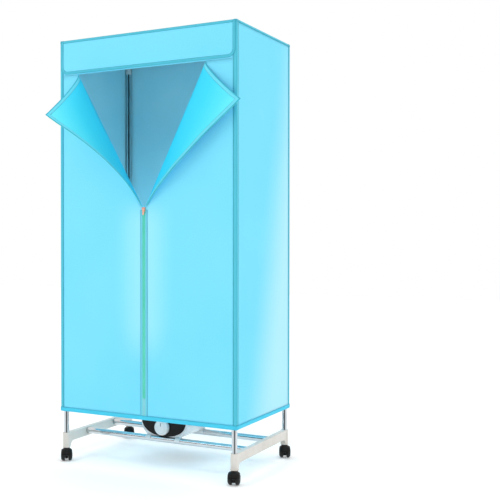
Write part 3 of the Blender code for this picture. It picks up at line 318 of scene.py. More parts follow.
def bare_metal(name, light, deep, roughness, streak_mm, stretch, head_on_painted_dark=None):
    """Metal with fine draw lines or haze along it; stretch pulls the marks along one axis.
    Chromium gives back about half of the light head-on and nearly all of it at a glance. The
    head-on colour given here is far darker than that: a painted dark reflection line down the
    middle of a tube."""
    material, tree, shader = new_material(name, {"Metallic": 1.0})
    places = add(tree, "ShaderNodeTexCoord").outputs["Object"]
    laid = add(tree, "ShaderNodeMapping", {"Scale": stretch}, {"Vector": places})
    marks = add(tree, "ShaderNodeTexNoise", {"Scale": 1000 / streak_mm, "Detail": 3.0},
                {"Vector": laid.outputs[0]})
    colour = drifting(tree, places, 22.0, 3.0, light, deep)
    # Painted reflection: a dark line where the tube faces the view
    if head_on_painted_dark:
        glance = add(tree, "ShaderNodeLayerWeight", {"Blend": 0.5})
        turned = add(tree, "ShaderNodeMapRange", {"From Min": 0.02, "From Max": 0.11},
                     {"Value": glance.outputs["Facing"]})
        mixed = add(tree, "ShaderNodeMix", {"data_type": "RGBA", "A_Color": linear(head_on_painted_dark)},
                    {"Factor_Float": turned.outputs[0], "B_Color": colour})
        colour = socket(mixed.outputs, "Result_Color")
    finish(tree, shader, colour, marks.outputs["Fac"], roughness, (0.12, 0.0001))
    return material


# Matt and bright, with a weave that shows only close to
COVER = woven_polyester("coated_polyester_sky_blue", "#7FE3FF", "#7AE0FD")
# Painted light: paler beside the zip and at the side's rear, where daylight would come through
DOOR_COVER = woven_polyester(
    "coated_polyester_door", "#80E4FF", "#7BE1FE", "#9CEBFE", (
        ("X", 0.130, 0.004, MIDDLE.x), ("Z", SPLIT + 0.06, SPLIT - 0.06, None),
        ("Z", 0.33, 0.52, None)))
SIDE_COVER = woven_polyester(
    "coated_polyester_side_panel", "#7BE0FC", "#77DDF9", "#B0EBFA",
    (("Y", MIDDLE.y - 0.237, MIDDLE.y + 0.026, None),), radians(13.3))
# The inner side: paler and just as matt, but glossier where the open corners show its coating
LINING = woven_polyester("polyester_inner_side", "#B2EAF8", "#A6E4F4")
FLAP_LINING = flap_lining("acrylic_coated_inner_side")
# Ribbed edges, darker or brighter than the cloth they hold, each with painted shade along its own
# edges
BINDING_TAPE = sewn_tape("folded_binding_cyan", 1.8, (
    (0.0, "#3FB0C6"), (0.14, "#45B6CC"), (0.26, "#5FCBE0"), (0.50, "#49BBD2"),
    (0.74, "#5FCBE0"), (0.86, "#45B6CC"), (1.0, "#3FB0C6")))
HEM_BINDING = sewn_tape("folded_hem_bright_cyan", 1.8, (
    (0.0, "#3FC2E2"), (0.10, "#4CD0F0"), (0.90, "#4CD0F0"), (1.0, "#3FC2E2")))
FLAP_BINDING = sewn_tape("folded_flap_band_light_cyan", 1.8, (
    (0.0, "#3BB0C8"), (0.22, "#43BBD3"), (0.34, "#6CDDF2"), (0.86, "#72E0F4"),
    (1.0, "#48C0DA")))
ZIP_CLOTH = sewn_tape("woven_zip_tape", 1.2, (
    (0.0, "#5DB4CC"), (0.12, "#66C2DC"), (0.5, "#6FD0E8"), (0.85, "#78DCE2"),
    (1.0, "#64CEC2")))
# Pale and dull, so that each stitch stands out from its tape
THREAD = moulded_plastic("twisted_polyester_thread", "#8FE2F4", "#7FD8EC", (0.50, 0.75),
                         0.4, 0.05)
# Waxy and half bright
COIL = moulded_plastic("nylon_coil_sea_green", "#69E8CF", "#5DDDC4", (0.34, 0.46), 0.5, 0.02)
# Milky and smooth, it hides the chain's last teeth
ZIP_FILM = moulded_plastic("pressed_film_zip_end", "#88D6E2", "#7CCAD8", (0.24, 0.36),
                           0.6, 0.01)
# A thick coat that rounds the cast metal and shines softly
SLIDER_ENAMEL = moulded_plastic("enamelled_zinc_salmon", "#FFC0A6", "#F6B096", (0.22, 0.34),
                                0.8, 0.01)
# A clean mirror, which each tube's round draws out into lines along it, with a painted dark
# reflection line down its middle
CHROME = bare_metal("bright_chromed_steel_tube", "#D6D8DA", "#CCCFD1", (0.05, 0.12), 0.6,
                    (1, 1, 1), "#3A3D40")
# Satin, from a mould with a spark grain
FOOT_PLASTIC = moulded_plastic("moulded_abs_warm_white", "#DFDAD3", "#D5CFC7", (0.36, 0.50),
                               0.9, 0.03)
JOINT_PLASTIC = moulded_plastic("moulded_pp_light_grey", "#CFD2D2", "#C3C7C8", (0.42, 0.56),
                                0.9, 0.04)
# Near black, with a weak shine that still shows the hoods' and treads' rounds
CASTER_PLASTIC = moulded_plastic("moulded_nylon_black", "#0F0F10", "#0A0A0B", (0.26, 0.38),
                                 0.8, 0.03, 0.2)
WHEEL_PLASTIC = moulded_plastic("moulded_pp_wheel_black", "#131314", "#0D0D0E", (0.32, 0.46),
                                0.7, 0.04, 0.3)
# Glossy, from polished moulds, and the black one nearly a mirror
HEATER_SHELL = moulded_plastic("moulded_abs_gloss_white", "#EEF0F1", "#E6E9EB", (0.20, 0.30),
                               0.9, 0.01)
HEATER_GLOSS = moulded_plastic("polished_abs_piano_black", "#0B0B0D", "#08080A", (0.07, 0.13),
                               1.2, 0.002, 0.2)
KNOB_PLASTIC = moulded_plastic("moulded_abs_knob_white", "#F2F3F3", "#E9ECED", (0.22, 0.32),
                               0.9, 0.01)
# Dull, so that the inside falls back behind the grilles
INNER_PLASTIC = moulded_plastic("moulded_pp_dark_grey", "#3A3D40", "#303336", (0.44, 0.60),
                                0.9, 0.04)
# Grey metal, its fine marks drawn out upright on the can and sideways on the fins
MOTOR_STEEL = bare_metal("zinc_plated_steel_can", "#B9BDC1", "#A4A9AE", (0.28, 0.42), 0.5,
                         (1, 1, 0.1))
ELEMENT_METAL = bare_metal("stamped_aluminium_fins", "#C4C6C8", "#A9ABAE", (0.34, 0.52), 0.7,
                           (0.2, 1, 1))
# Dead matt
GLAND_RUBBER = moulded_plastic("moulded_rubber_grey", "#4A4C4E", "#3F4143", (0.60, 0.78),
                               0.6, 0.05)
# Milky, with a soft shine
LIGHT_BAR = moulded_plastic("frosted_pc_light_bar", "#D9E4E6", "#CCD8DB", (0.30, 0.40),
                            0.8, 0.01)


# Making pieces
def placed(name, data, place=(0, 0, 0)):
    """An object in the scene with that data."""
    thing = bpy.data.objects.new(name, data)
    bpy.context.collection.objects.link(thing)
    thing.location = place
    return thing


def new_piece(name, bm, materials, slot, body="cabinet", sharp=None, clean=True):
    """A piece that rides on a body, from a mesh whose points are already in their place."""
    if clean:
        bmesh.ops.remove_doubles(bm, verts=bm.verts, dist=MERGE)
    mesh = bpy.data.meshes.new(name)
    bm.to_mesh(mesh)
    bm.free()
    for material in materials:
        mesh.materials.append(material)
    mesh.shade_smooth()
    if sharp is not None:
        mesh.set_sharp_from_angle(angle=radians(sharp))
    piece = placed(name, mesh)
    PIECES.append((piece, body, slot))
    return piece


def thicken(piece, thickness, offset=0.0, other_side=0):
    """Gives a sheet its thickness, and its other side the next material where it has one."""
    step = piece.modifiers.new("thickness", "SOLIDIFY")
    step.thickness = thickness
    step.offset = offset
    step.material_offset = other_side


def soften_edges(piece, width, segments=2, angle=30):
    """Rounds the edges that turn by more than the angle, in degrees."""
    step = piece.modifiers.new("soft_edges", "BEVEL")
    step.width = width
    step.segments = segments
    step.limit_method = "ANGLE"
    step.angle_limit = radians(angle)


def settle(piece):
    """Turns a piece and its modifiers into a plain mesh."""
    made = bpy.data.meshes.new_from_object(
        piece.evaluated_get(bpy.context.evaluated_depsgraph_get()))
    piece.modifiers.clear()
    used = [material for material in made.materials if material]
    made.materials.clear()
    for material in used:
        made.materials.append(material)
    made.polygons.foreach_set("material_index", [0] * len(made.polygons))
    piece.data = made


def shares(count):
    return [step / count for step in range(count + 1)]


def spread(start, end, count):
    """Evenly spaced values from start to end, in so many steps."""
    return [start + (end - start) * share for share in shares(count)]


def ease(value, start, end):
    """0 before start, 1 after end and smooth between them."""
    share = min(1.0, max(0.0, (value - start) / (end - start)))
    return share * share * (3 - 2 * share)


def ripple(across, up, seed):
    """Soft hanging folds: slow across the cloth and slower up it, from -1 to 1."""
    broad = noise.noise(Vector((across * 7.0, up * 1.6, seed)))
    fine = noise.noise(Vector((across * 19.0, up * 4.2, seed + 9.1)))
    return 1.3 * broad + 0.45 * fine


def add_loft(bm, stations, across_share=False):
    """A surface through rows of points, with its weave map: across it, and along it in metres.
    With across_share the map's first number runs from 0 to 1."""
    weave = bm.loops.layers.uv.get("weave") or bm.loops.layers.uv.new("weave")
    middle = stations[len(stations) // 2]
    across = [0.0]
    for here, there in zip(middle, middle[1:]):
        across.append(across[-1] + (Vector(there) - Vector(here)).length)
    if across_share:
        across = [value / across[-1] for value in across]
    centre = len(middle) // 2
    along = [0.0]
    for here, there in zip(stations, stations[1:]):
        along.append(along[-1] + (Vector(there[centre]) - Vector(here[centre])).length)
    rows = [[bm.verts.new(MIDDLE + Vector(point)) for point in station] for station in stations]
    for j in range(len(rows) - 1):
        for i in range(len(middle) - 1):
            marks = ((i, j), (i + 1, j), (i + 1, j + 1), (i, j + 1))
            face = bm.faces.new([rows[row][column] for column, row in marks])
            for loop, (column, row) in zip(face.loops, marks):
                loop[weave].uv = (across[column], along[row])
    return rows


def join_rings(bm, rings):
    """Faces between each ring of points and the next."""
    for here, there in zip(rings, rings[1:]):
        for step in range(len(here)):
            after = (step + 1) % len(here)
            bm.faces.new((here[step], here[after], there[after], there[step]))


def turned_piece(name, place, axis, profile, material, slot, body="cabinet", sides=48, sharp=35):
    """A body turned about an axis from (radius, height) points, which close on themselves."""
    way = Vector(axis).normalized()
    first = way.orthogonal().normalized()
    second = way.cross(first)
    bm = bmesh.new()
    spokes = [first * cos(a) + second * sin(a) for a in [tau * n / sides for n in range(sides)]]
    rings = [[bm.verts.new(Vector(place) + way * height + spoke * radius) for spoke in spokes]
             for radius, height in profile]
    join_rings(bm, rings + rings[:1])
    bmesh.ops.remove_doubles(bm, verts=bm.verts, dist=MERGE / 2)
    bmesh.ops.recalc_face_normals(bm, faces=bm.faces)
    return new_piece(name, bm, (material,), slot, body, sharp, clean=False)


def pads_piece(name, boxes, soft, material, slot, body="cabinet"):
    """Small blocks with rounded edges, each from its lowest corner to its highest."""
    bm = bmesh.new()
    for low, high in boxes:
        size, middle = Vector(high) - Vector(low), (Vector(high) + Vector(low)) / 2
        made = bmesh.ops.create_cube(bm, size=1.0)["verts"]
        bmesh.ops.transform(bm, matrix=Matrix.Translation(middle) @ Matrix.Diagonal((*size, 1)),
                            verts=made)
        edges = {edge for vert in made for edge in vert.link_edges}
        bmesh.ops.bevel(bm, geom=list(edges), offset=soft, segments=3, profile=0.5,
                        affect="EDGES")
    return new_piece(name, bm, (material,), slot, body, 40)


def solid_copy(node):
    """A node's own solid, to be worked on."""
    bm = bmesh.new()
    bm.from_mesh(frame["nodes"][node].data)
    bmesh.ops.remove_doubles(bm, verts=bm.verts, dist=MERGE * 2)
    return bm


def bevelled_copy(name, node, width, material, slot, body="cabinet"):
    """A copy of a node's solid with its flat faces made whole and its edges broken."""
    bm = solid_copy(node)
    bmesh.ops.dissolve_limit(bm, angle_limit=radians(1), verts=bm.verts, edges=bm.edges)
    piece = new_piece(name, bm, (material,), slot, body, 35, clean=False)
    soften_edges(piece, width)
    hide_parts(node)


# Rows of repeated shapes
def row_tree(name, material):
    """Geometry nodes: an oval shape repeated along every path of the piece's mesh.
    Its sizes are named inputs, and the shapes are made real at the end."""
    tree = bpy.data.node_groups.new(name, "GeometryNodeTree")
    face = tree.interface
    face.new_socket("Paths", in_out="INPUT", socket_type="NodeSocketGeometry")
    for label in ("Pitch", "Length", "Width", "Height"):
        face.new_socket(label, in_out="INPUT", socket_type="NodeSocketFloat")
    face.new_socket("Row", in_out="OUTPUT", socket_type="NodeSocketGeometry")
    given = add(tree, "NodeGroupInput").outputs
    path = add(tree, "GeometryNodeMeshToCurve", {}, {"Mesh": given["Paths"]})
    spaced = add(tree, "GeometryNodeResampleCurve", {"mode": "LENGTH"},
                 {"Curve": path.outputs[0], "Length": given["Pitch"]})
    oval = add(tree, "GeometryNodeMeshUVSphere", {"Segments": 8, "Rings": 5, "Radius": 0.5})
    size = add(tree, "ShaderNodeCombineXYZ", {},
               {"X": given["Length"], "Y": given["Width"], "Z": given["Height"]})
    shape = add(tree, "GeometryNodeTransform", {},
                {"Geometry": oval.outputs[0], "Scale": size.outputs[0]})
    tangent = add(tree, "GeometryNodeInputTangent")
    turn = add(tree, "FunctionNodeAlignRotationToVector", {"axis": "X"},
               {"Vector": tangent.outputs[0]})
    repeated = add(tree, "GeometryNodeInstanceOnPoints", {}, {
        "Points": spaced.outputs[0], "Instance": shape.outputs[0], "Rotation": turn.outputs[0]})
    real = add(tree, "GeometryNodeRealizeInstances", {}, {"Geometry": repeated.outputs[0]})
    smooth = add(tree, "GeometryNodeSetShadeSmooth", {}, {"Geometry": real.outputs[0]})
    coloured = add(tree, "GeometryNodeSetMaterial", {"Material": material},
                   {"Geometry": smooth.outputs[0]})
    add(tree, "NodeGroupOutput", {}, {"Row": coloured.outputs[0]})
    return tree


def row_piece(name, paths, row, slot, body="cabinet"):
    """Shapes along the paths, which are lists of places, as one plain piece."""
    tree, pitch, (length, width, height) = row
    values = {"Pitch": pitch, "Length": length, "Width": width, "Height": height}
    mesh = bpy.data.meshes.new(name)
    points, edges = [], []
    for path in paths:
        first = len(points)
        points += [tuple(MIDDLE + Vector(place)) for place in path]
        edges += [(first + step, first + step + 1) for step in range(len(path) - 1)]
    mesh.from_pydata(points, edges, [])
    piece = placed(name, mesh)
    step = piece.modifiers.new("row", "NODES")
    step.node_group = tree
    for item in tree.interface.items_tree:
        if item.name in values:
            step[item.identifier] = values[item.name]
    settle(piece)
    PIECES.append((piece, body, slot))
    return piece


STITCHING = (row_tree("stitch_row", THREAD), STITCH_PITCH, STITCH)
TEETH = (row_tree("tooth_row", COIL), TOOTH_PITCH, TOOTH)
FLAP_TEETH = (TEETH[0], TOOTH_PITCH, FLAP_TOOTH)
RIBBING = (row_tree("knob_rib_row", KNOB_PLASTIC), tau * KNOB_RIM / KNOB_RIBS,
           (0.0013, 0.0110, 0.0013))


# Cover panels
def front_relief(x, z):
    """How far the front cloth stands out: nothing at its seams, hem, fold and valance."""
    edge = ease(HALF_X - abs(x), 0.012, 0.075)
    zip_edge = ease(abs(x), ZIP_TAPE + 0.004, 0.075)
    low = ease(z - HEM, HEM_TAPE + 0.004, 0.16)
    high = 1 - ease(z, 1.05, 1.34)
    swell = 0.0022 * edge * zip_edge
    folds = 0.0019 * ripple(x, z, 3.7) * edge * zip_edge
    # Pull lines fan out from the slider, where the open door tugs at the cloth
    run = Vector((x, z - SPLIT))
    pull = 0.0011 * sin(atan2(run.y, abs(run.x)) * 22) * exp(-run.length * 7)
    pull *= ease(run.length, 0.02, 0.09) * zip_edge
    return max(0.0, (swell + folds) * low * high + max(0.0, pull) * high)


def fold_x(sign, z):
    """The door's inner edge: beside the zip below the slider, along the fold above it."""
    if z <= SPLIT:
        return sign * CHAIN_SIDE
    share = (z - SPLIT) / (DOOR_TOP - SPLIT)
    return sign * (CHAIN_SIDE + (FOLD_TOP[sign] - CHAIN_SIDE) * share)


def panel(name, stations, outer, flat, replaced, held, rests_on, area=None):
    """A cloth panel in place of its plain solid."""
    bm = bmesh.new()
    add_loft(bm, stations)
    piece = new_piece(name, bm, (outer, LINING), "cover_cloth")
    thicken(piece, CLOTH, other_side=1)
    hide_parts(replaced)
    SHEETS.append((piece, flat, held, rests_on, area))


def make_doors():
    """Both halves of the door below and beside the opening, hanging straight in front."""
    edge = HALF_X - PANEL_INSET
    width, height = edge - CHAIN_SIDE, DOOR_TOP - HEM
    for side, sign in SIDES.items():
        stations = []
        for z in spread(HEM, SPLIT, 34) + spread(SPLIT, DOOR_TOP, 24)[1:]:
            near, far = sorted((fold_x(sign, z), sign * edge))
            stations.append([(x, FRONT + CLOTH_MIDDLE - front_relief(x, z), z)
                             for x in spread(near, far, 26)])
        cut_away = (FOLD_TOP[sign] - CHAIN_SIDE) * (DOOR_TOP - SPLIT) / 2
        panel("door_cloth_" + side, stations, DOOR_COVER, (width, height), "door_" + side,
              "hung", ("top_bar_front",), width * height - cut_away)


def make_cover():
    """Top, header, back and side panels, drawn over the frame with a little slack."""
    wide, reach, high = HALF_X - PANEL_INSET, HALF_Y - 2 * PANEL_INSET, TOP - 2 * PANEL_INSET

    def sag(x, y):
        across = 1 - (x / HALF_X) ** 4
        return (0.0045 * across * (1 - (y / HALF_Y) ** 2)
                + 0.0008 * max(0.0, ripple(x, y, 12.0)) * across * (1 - (y / HALF_Y) ** 4))

    def slack(along_edge, half, z, seed, turn):
        edge = ease(half - abs(along_edge), 0.010, 0.10)
        tall = ease(TOP - z, 0.01, 0.16) * ease(z - HEM, HEM_TAPE + 0.004, 0.16)
        # The bars at half height hold the cloth in
        mid = 1 - 0.55 * exp(-((z - MID_BARS) / 0.06) ** 2)
        return max(0.0, (0.0024 + 0.0024 * ripple(along_edge * turn, z, seed)) * edge * tall * mid)

    stations = [[(x, y, TOP - CLOTH_MIDDLE - sag(x, y)) for x in spread(-HALF_X, HALF_X, 30)]
                for y in spread(-HALF_Y, HALF_Y, 20)]
    panel("top_cloth", stations, COVER, (2 * HALF_X, 2 * HALF_Y), "cover_top", "stretched",
          ("top_bar_front", "top_bar_rear"))
    stations = [[(x, FRONT + CLOTH_MIDDLE, DOOR_TOP + 0.0003 + (high - DOOR_TOP) * t)
                 for x in spread(-wide, wide, 30)] for t in shares(5)]
    panel("header_cloth", stations, COVER, (2 * wide, high - DOOR_TOP), "cover_header",
          "stretched", ("top_bar_front",))
    heights = spread(HEM, high, 56)
    stations = [[(x, HALF_Y - CLOTH_MIDDLE + slack(x, wide, z, 31.0, 1), z)
                 for x in spread(wide, -wide, 30)] for z in heights]
    panel("back_cloth", stations, COVER, (2 * wide, high - HEM), "cover_back", "hung",
          ("top_bar_rear",))
    for side, sign in SIDES.items():
        stations = [[(sign * (HALF_X - CLOTH_MIDDLE + slack(y, reach, z, 51.0 + sign, 1.3)), y, z)
                     for y in spread(-sign * reach, sign * reach, 20)] for z in heights]
        panel("side_cloth_" + side, stations, SIDE_COVER, (2 * reach, high - HEM),
              "cover_" + side, "hung", ("top_side_bar_" + side,))


# Bindings, hems and stitches
def corner_wrap(corner, before, after):
    """The binding's section round an upright corner, met along before and left along after."""
    out_before, out_after = before.cross(UP), after.cross(UP)
    centre = corner - (out_before + out_after) * EDGE_RADIUS
    points = [corner - before * BINDING * share + out_before * TAPE_LIFT for share in (1, 0.5)]
    for angle in spread(0, pi / 2, 4):
        way = out_before * cos(angle) + out_after * sin(angle)
        points.append(centre + way * (EDGE_RADIUS + TAPE_LIFT))
    return points + [corner + after * BINDING * share + out_after * TAPE_LIFT
                     for share in (0.5, 1)]


def make_bindings():
    """Binding folded over the upright corners and the top edges."""
    bm = bmesh.new()
    paths = []
    for number, after in enumerate(RUNS):
        before = RUNS[number - 1]
        both = before.cross(UP) + after.cross(UP)
        corner = Vector((both.x * HALF_X, both.y * HALF_Y, 0))
        section = corner_wrap(corner, before, after)
        add_loft(bm, [[point + UP * z for point in section]
                      for z in spread(HEM, TOP - 0.0004, 40)], True)
        for way, way_from in ((before, -1), (after, 1)):
            line = corner + way * way_from * (BINDING - STITCH_INSET)
            line += way.cross(UP) * (TAPE_LIFT + STITCH_LIFT)
            paths.append([line + UP * (HEM + 0.004), line + UP * (TOP - 0.010)])

    for number, run in enumerate(RUNS):
        # Up the face, then over onto the top. The front edge is only on the top, because the
        # valance hangs from it
        out = run.cross(UP)
        half, reach = (HALF_Y, HALF_X) if number % 2 else (HALF_X, HALF_Y)
        edge = out * reach + UP * TOP
        section = []
        if number:
            section += [edge - UP * down + out * TAPE_LIFT for down in (TOP_BINDING, EDGE_RADIUS)]
        centre = edge - UP * EDGE_RADIUS - out * EDGE_RADIUS
        for angle in spread(0, pi / 2, 4)[1:]:
            way = out * cos(angle) + UP * sin(angle)
            section.append(centre + way * (EDGE_RADIUS + TAPE_LIFT * (1 if number else 0.4)))
        section += [edge - out * TOP_BINDING * share + UP * TAPE_LIFT for share in (0.6, 1.4)]
        add_loft(bm, [[point + run * (half * (1 - 2 * t)) for point in section]
                      for t in shares(12)], True)
        line = edge - out * (TOP_BINDING * 1.4 - STITCH_INSET) + UP * (TAPE_LIFT + STITCH_LIFT)
        paths.append([line + run * (half - 0.012), line - run * (half - 0.012)])
    binding = new_piece("cover_binding", bm, (BINDING_TAPE,), "cover_cloth")
    thicken(binding, TAPE)
    return binding, paths


def make_hem():
    """The hem's tape, one strip round all four corners. Its ends meet over the zip."""
    bm = bmesh.new()
    ends = Vector((0, -HALF_Y, 0))
    turns = [Vector((x * HALF_X, y * HALF_Y, 0)) for x, y in ((1, -1), (1, 1), (-1, 1), (-1, -1))]
    turns = [ends] + turns + [ends]
    inner = -0.0012 - TAPE_LIFT
    section = [(inner, HEM_TAPE), (inner, 0.001), (-0.0003, -0.0006), (HEM_LIFT, 0.001),
               (HEM_LIFT, HEM_TAPE * 0.5), (HEM_LIFT, HEM_TAPE)]
    stations, paths, last_out = [], [], Vector((0, 0, 0))
    for number, (here, there) in enumerate(zip(turns, turns[1:])):
        run = (there - here).normalized()
        out = run.cross(UP)
        for t in shares(24)[:-1] if number < 4 else shares(24):
            way = out if t else out + last_out
            stations.append([here.lerp(there, t) + way * away + UP * (HEM + rise)
                             for away, rise in section])
        last_out = out
        lift = out * (HEM_LIFT + STITCH_LIFT) + UP * (HEM + HEM_TAPE - STITCH_INSET)
        paths.append([here + run * 0.004 + lift, there - run * 0.004 + lift])
    add_loft(bm, stations[::-1], True)
    hem = new_piece("cover_hem_tape", bm, (HEM_BINDING,), "cover_cloth")
    thicken(hem, TAPE)
    return hem, paths


def make_zip_tape():
    """The zip's tape on both sides of the chain, and the stiff film over the chain's foot."""
    bm = bmesh.new()
    inner, face, paths = CHAIN_SIDE + 0.0002, FRONT - TAPE_LIFT, []
    for sign in SIDES.values():
        rows = []
        for t in shares(40):
            z = HEM + 0.0005 + (SPLIT - 0.004 - HEM) * t
            row = [(sign * x, face, z) for x in spread(ZIP_TAPE, inner, 4)]
            rows.append(row if sign < 0 else row[::-1])
        add_loft(bm, rows, True)
        for x in (ZIP_TAPE - 0.0018, ZIP_TAPE - 0.0058):
            paths.append([(sign * x, face - STITCH_LIFT, z) for z in (HEM + 0.016, SPLIT - 0.008)])
    # The map runs from the outer edge to the chain on the right side too
    weave = bm.loops.layers.uv["weave"]
    for made in bm.faces:
        if made.calc_center_median().x > MIDDLE.x:
            for loop in made.loops:
                loop[weave].uv.x = 1 - loop[weave].uv.x
    tape = new_piece("zip_tape", bm, (ZIP_CLOTH,), "zip_teeth")
    thicken(tape, TAPE)
    half, face = CHAIN_SIDE + 0.0012, MIDDLE.y + FRONT
    pads_piece("zip_end_film", [(
        (MIDDLE.x - half, face - 0.0010, HEM + 0.0010),
        (MIDDLE.x + half, face + 0.0002, HEM + ZIP_END + 0.0015))], 0.0003, ZIP_FILM, "zip_teeth")
    return tape, paths


def make_fold_rolls():
    """A soft roll of cloth along each fold, where the open corner turns out."""
    bm = bmesh.new()
    for sign in SIDES.values():
        foot = Vector((sign * CHAIN_SIDE, FRONT + CLOTH_MIDDLE, SPLIT + 0.004))
        head = Vector((sign * FOLD_TOP[sign], FRONT + CLOTH_MIDDLE, DOOR_TOP))
        side_way = (head - foot).normalized().cross(AHEAD)
        add_loft(bm, [[centre + (AHEAD * cos(a) + side_way * sin(a)) * 0.0009
                       for a in spread(0, tau, 10)] for centre in spread(foot, head, 30)])
    bmesh.ops.remove_doubles(bm, verts=bm.verts, dist=MERGE)
    bmesh.ops.holes_fill(bm, edges=bm.edges)
    bmesh.ops.recalc_face_normals(bm, faces=bm.faces)
    return new_piece("door_fold_roll", bm, (FLAP_LINING,), "flap_cloth")


# Valance
def valance_outline(inset):
    """The valance's lower edge from its left top to its right top, moved in by the inset."""
    half, radius, high = VALANCE_HALF - inset, VALANCE_CORNER - inset, TOP - PANEL_INSET
    low = TOP - VALANCE_DROP + inset
    centre_x, centre_z = VALANCE_HALF - VALANCE_CORNER, TOP - VALANCE_DROP + VALANCE_CORNER

    def corner(side, start):
        return [(side * centre_x + radius * cos(start + a), centre_z + radius * sin(start + a))
                for a in spread(0, pi / 2, 8)[1:]]

    return ([(-half, z) for z in spread(high, centre_z, 6)] + corner(-1, pi)
            + [(x, low) for x in spread(-centre_x, centre_x, 28)[1:]] + corner(1, -pi / 2)
            + [(half, z) for z in spread(centre_z, high, 6)[1:]])


def valance_y(x, z):
    """The valance hangs just off the header and swells a little in its middle."""
    fall, edge = (TOP - z) / VALANCE_DROP, ease(VALANCE_HALF - abs(x), 0, 0.06)
    wave = 0.0012 * (1 + 0.8 * ripple(x * 1.4, z, 77.0)) * fall * edge
    return FRONT - 0.0009 - max(0.0, wave)


def make_valance():
    """The valance's cloth, its bound edge and its stitches."""
    bm = bmesh.new()
    outline, rows = valance_outline(0), []
    for z in sorted({round(z, 6) for x, z in outline}):
        reach = max(x for x, height in outline if abs(height - z) < 1e-5)
        rows.append([(x, valance_y(x, z), z) for x in spread(-reach, reach, 44)])
    add_loft(bm, rows)
    cloth = new_piece("valance_cloth", bm, (COVER, LINING), "cover_cloth", "valance")
    thicken(cloth, CLOTH * 0.9, other_side=1)
    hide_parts("valance")

    bm = bmesh.new()
    edge, inner = valance_outline(-0.0004), valance_outline(VALANCE_BORDER)
    middle = [((a[0] + b[0]) / 2, (a[1] + b[1]) / 2) for a, b in zip(edge, inner)]
    add_loft(bm, [[(x, valance_y(x, z) - TAPE_LIFT - 0.0003, z) for x, z in places]
                  for places in zip(inner, middle, edge)], True)
    add_loft(bm, [[(x, FRONT - 0.0016, TOP - 0.0006 - TOP_BINDING * t) for t in (1, 0.5, 0)]
                  for x in spread(-VALANCE_HALF, VALANCE_HALF, 30)[::-1]], True)
    border = new_piece("valance_border", bm, (BINDING_TAPE,), "cover_cloth", "valance")
    thicken(border, TAPE)
    path = [(x, valance_y(x, z) - TAPE_LIFT - 0.0008, z)
            for x, z in valance_outline(VALANCE_BORDER - STITCH_INSET)]
    stitches = row_piece("valance_stitches", [path], STITCHING, "cover_cloth", "valance")
    area = 2 * VALANCE_HALF * VALANCE_DROP - (2 - pi / 2) * VALANCE_CORNER ** 2
    return cloth, [border, stitches], area


# Open door corners
def fold_frame(sign):
    """The fold's foot, its way up, the way across it, and its length."""
    foot = Vector((sign * CHAIN_SIDE, FRONT - 0.00015, SPLIT))
    head = Vector((sign * FOLD_TOP[sign], FRONT - 0.00015, DOOR_TOP))
    up = (head - foot).normalized()
    across = Vector((0, 1, 0)).cross(up) * -sign
    return foot, up, across, (head - foot).length


def flap_sizes(sign):
    """Length of the fold, and how far up it and out from it the corner's tip lies."""
    foot, up, across, length = fold_frame(sign)
    height = DOOR_TOP - SPLIT
    return length, up.z * height * TIP_RISE_SHARE[sign], across.z * height * TIP_REACH_SHARE[sign]


def flap_width(sign, rise):
    """The corner's reach at a height along its fold. Both free edges are a little hollow."""
    length, tip_rise, tip_reach = flap_sizes(sign)
    if rise < tip_rise:
        return tip_reach * (rise / tip_rise) ** ZIP_EDGE_HOLLOW[sign] - FLAP_MARGIN
    share = (length - rise) / (length - tip_rise)
    return tip_reach * share ** TOP_EDGE_HOLLOW[sign] - FLAP_MARGIN


def flap_ways(sign):
    """The corner's two ways at rest: out from its fold, and off its plane to the coated side."""
    across, turn = fold_frame(sign)[2], FOLD_TURN[sign]
    return (across * cos(turn) + AHEAD * sin(turn), AHEAD * -cos(turn) + across * sin(turn))


def flap_place(sign, rise, reach, lift):
    """A place on the turned-out corner. Its zip edge bellies out, and it ripples a little."""
    foot, up = fold_frame(sign)[:2]
    _, tip_rise, tip_reach = flap_sizes(sign)
    width = max(flap_width(sign, rise), 0.002)
    share = min(1.0, max(0.0, reach / width))
    along = min(1.0, rise / tip_rise)
    belly = max(EDGE_SWELL[sign] * sin(pi * along ** 0.75), 1e-6)
    swell = (belly ** -3 + (0.9 * width) ** -3) ** (-1 / 3)
    bow = FLAP_BOW * (width / tip_reach) * sin(pi * share)
    wave = 0.0022 * ripple(rise * 1.5, reach * 2.0, 21.0 + sign) * ease(reach, 0.02, 0.10)
    curl = FLAP_CURL * (reach / tip_reach) ** 3
    depth = 0.00075 + swell * share ** 1.6 + bow + wave + (curl if sign < 0 else -0.2 * curl) + lift
    outward, off_plane = flap_ways(sign)
    return foot + up * rise + outward * reach + off_plane * depth


def flap_edge(sign, inset):
    """Places (rise, reach) along both free edges, from the slider round the tip to the top."""
    length, tip_rise, tip_reach = flap_sizes(sign)
    end = length - (length - tip_rise) * FLAP_MARGIN * 2 / tip_reach
    rises = spread(FLAP_START, tip_rise, FLAP_STEPS) + spread(tip_rise, end, 12)[1:]
    edge = [Vector((rise, max(flap_width(sign, rise), 0.0016))) for rise in rises]
    if not inset:
        return edge
    moved = []
    for number, place in enumerate(edge):
        before = edge[max(number - 1, 0)]
        after = edge[min(number + 1, len(edge) - 1)]
        run_in = (place - before).normalized() if number else (after - place).normalized()
        run_out = (after - place).normalized() if number < len(edge) - 1 else run_in
        normal_in, normal_out = Vector((run_in.y, -run_in.x)), Vector((run_out.y, -run_out.x))
        mitre = normal_in + normal_out
        target = place + mitre * (inset / max(mitre.dot(normal_in), 0.4))
        target.y = max(target.y, 0.0008)
        target.x = min(max(target.x, FLAP_START), end)
        moved.append(target)
    return moved


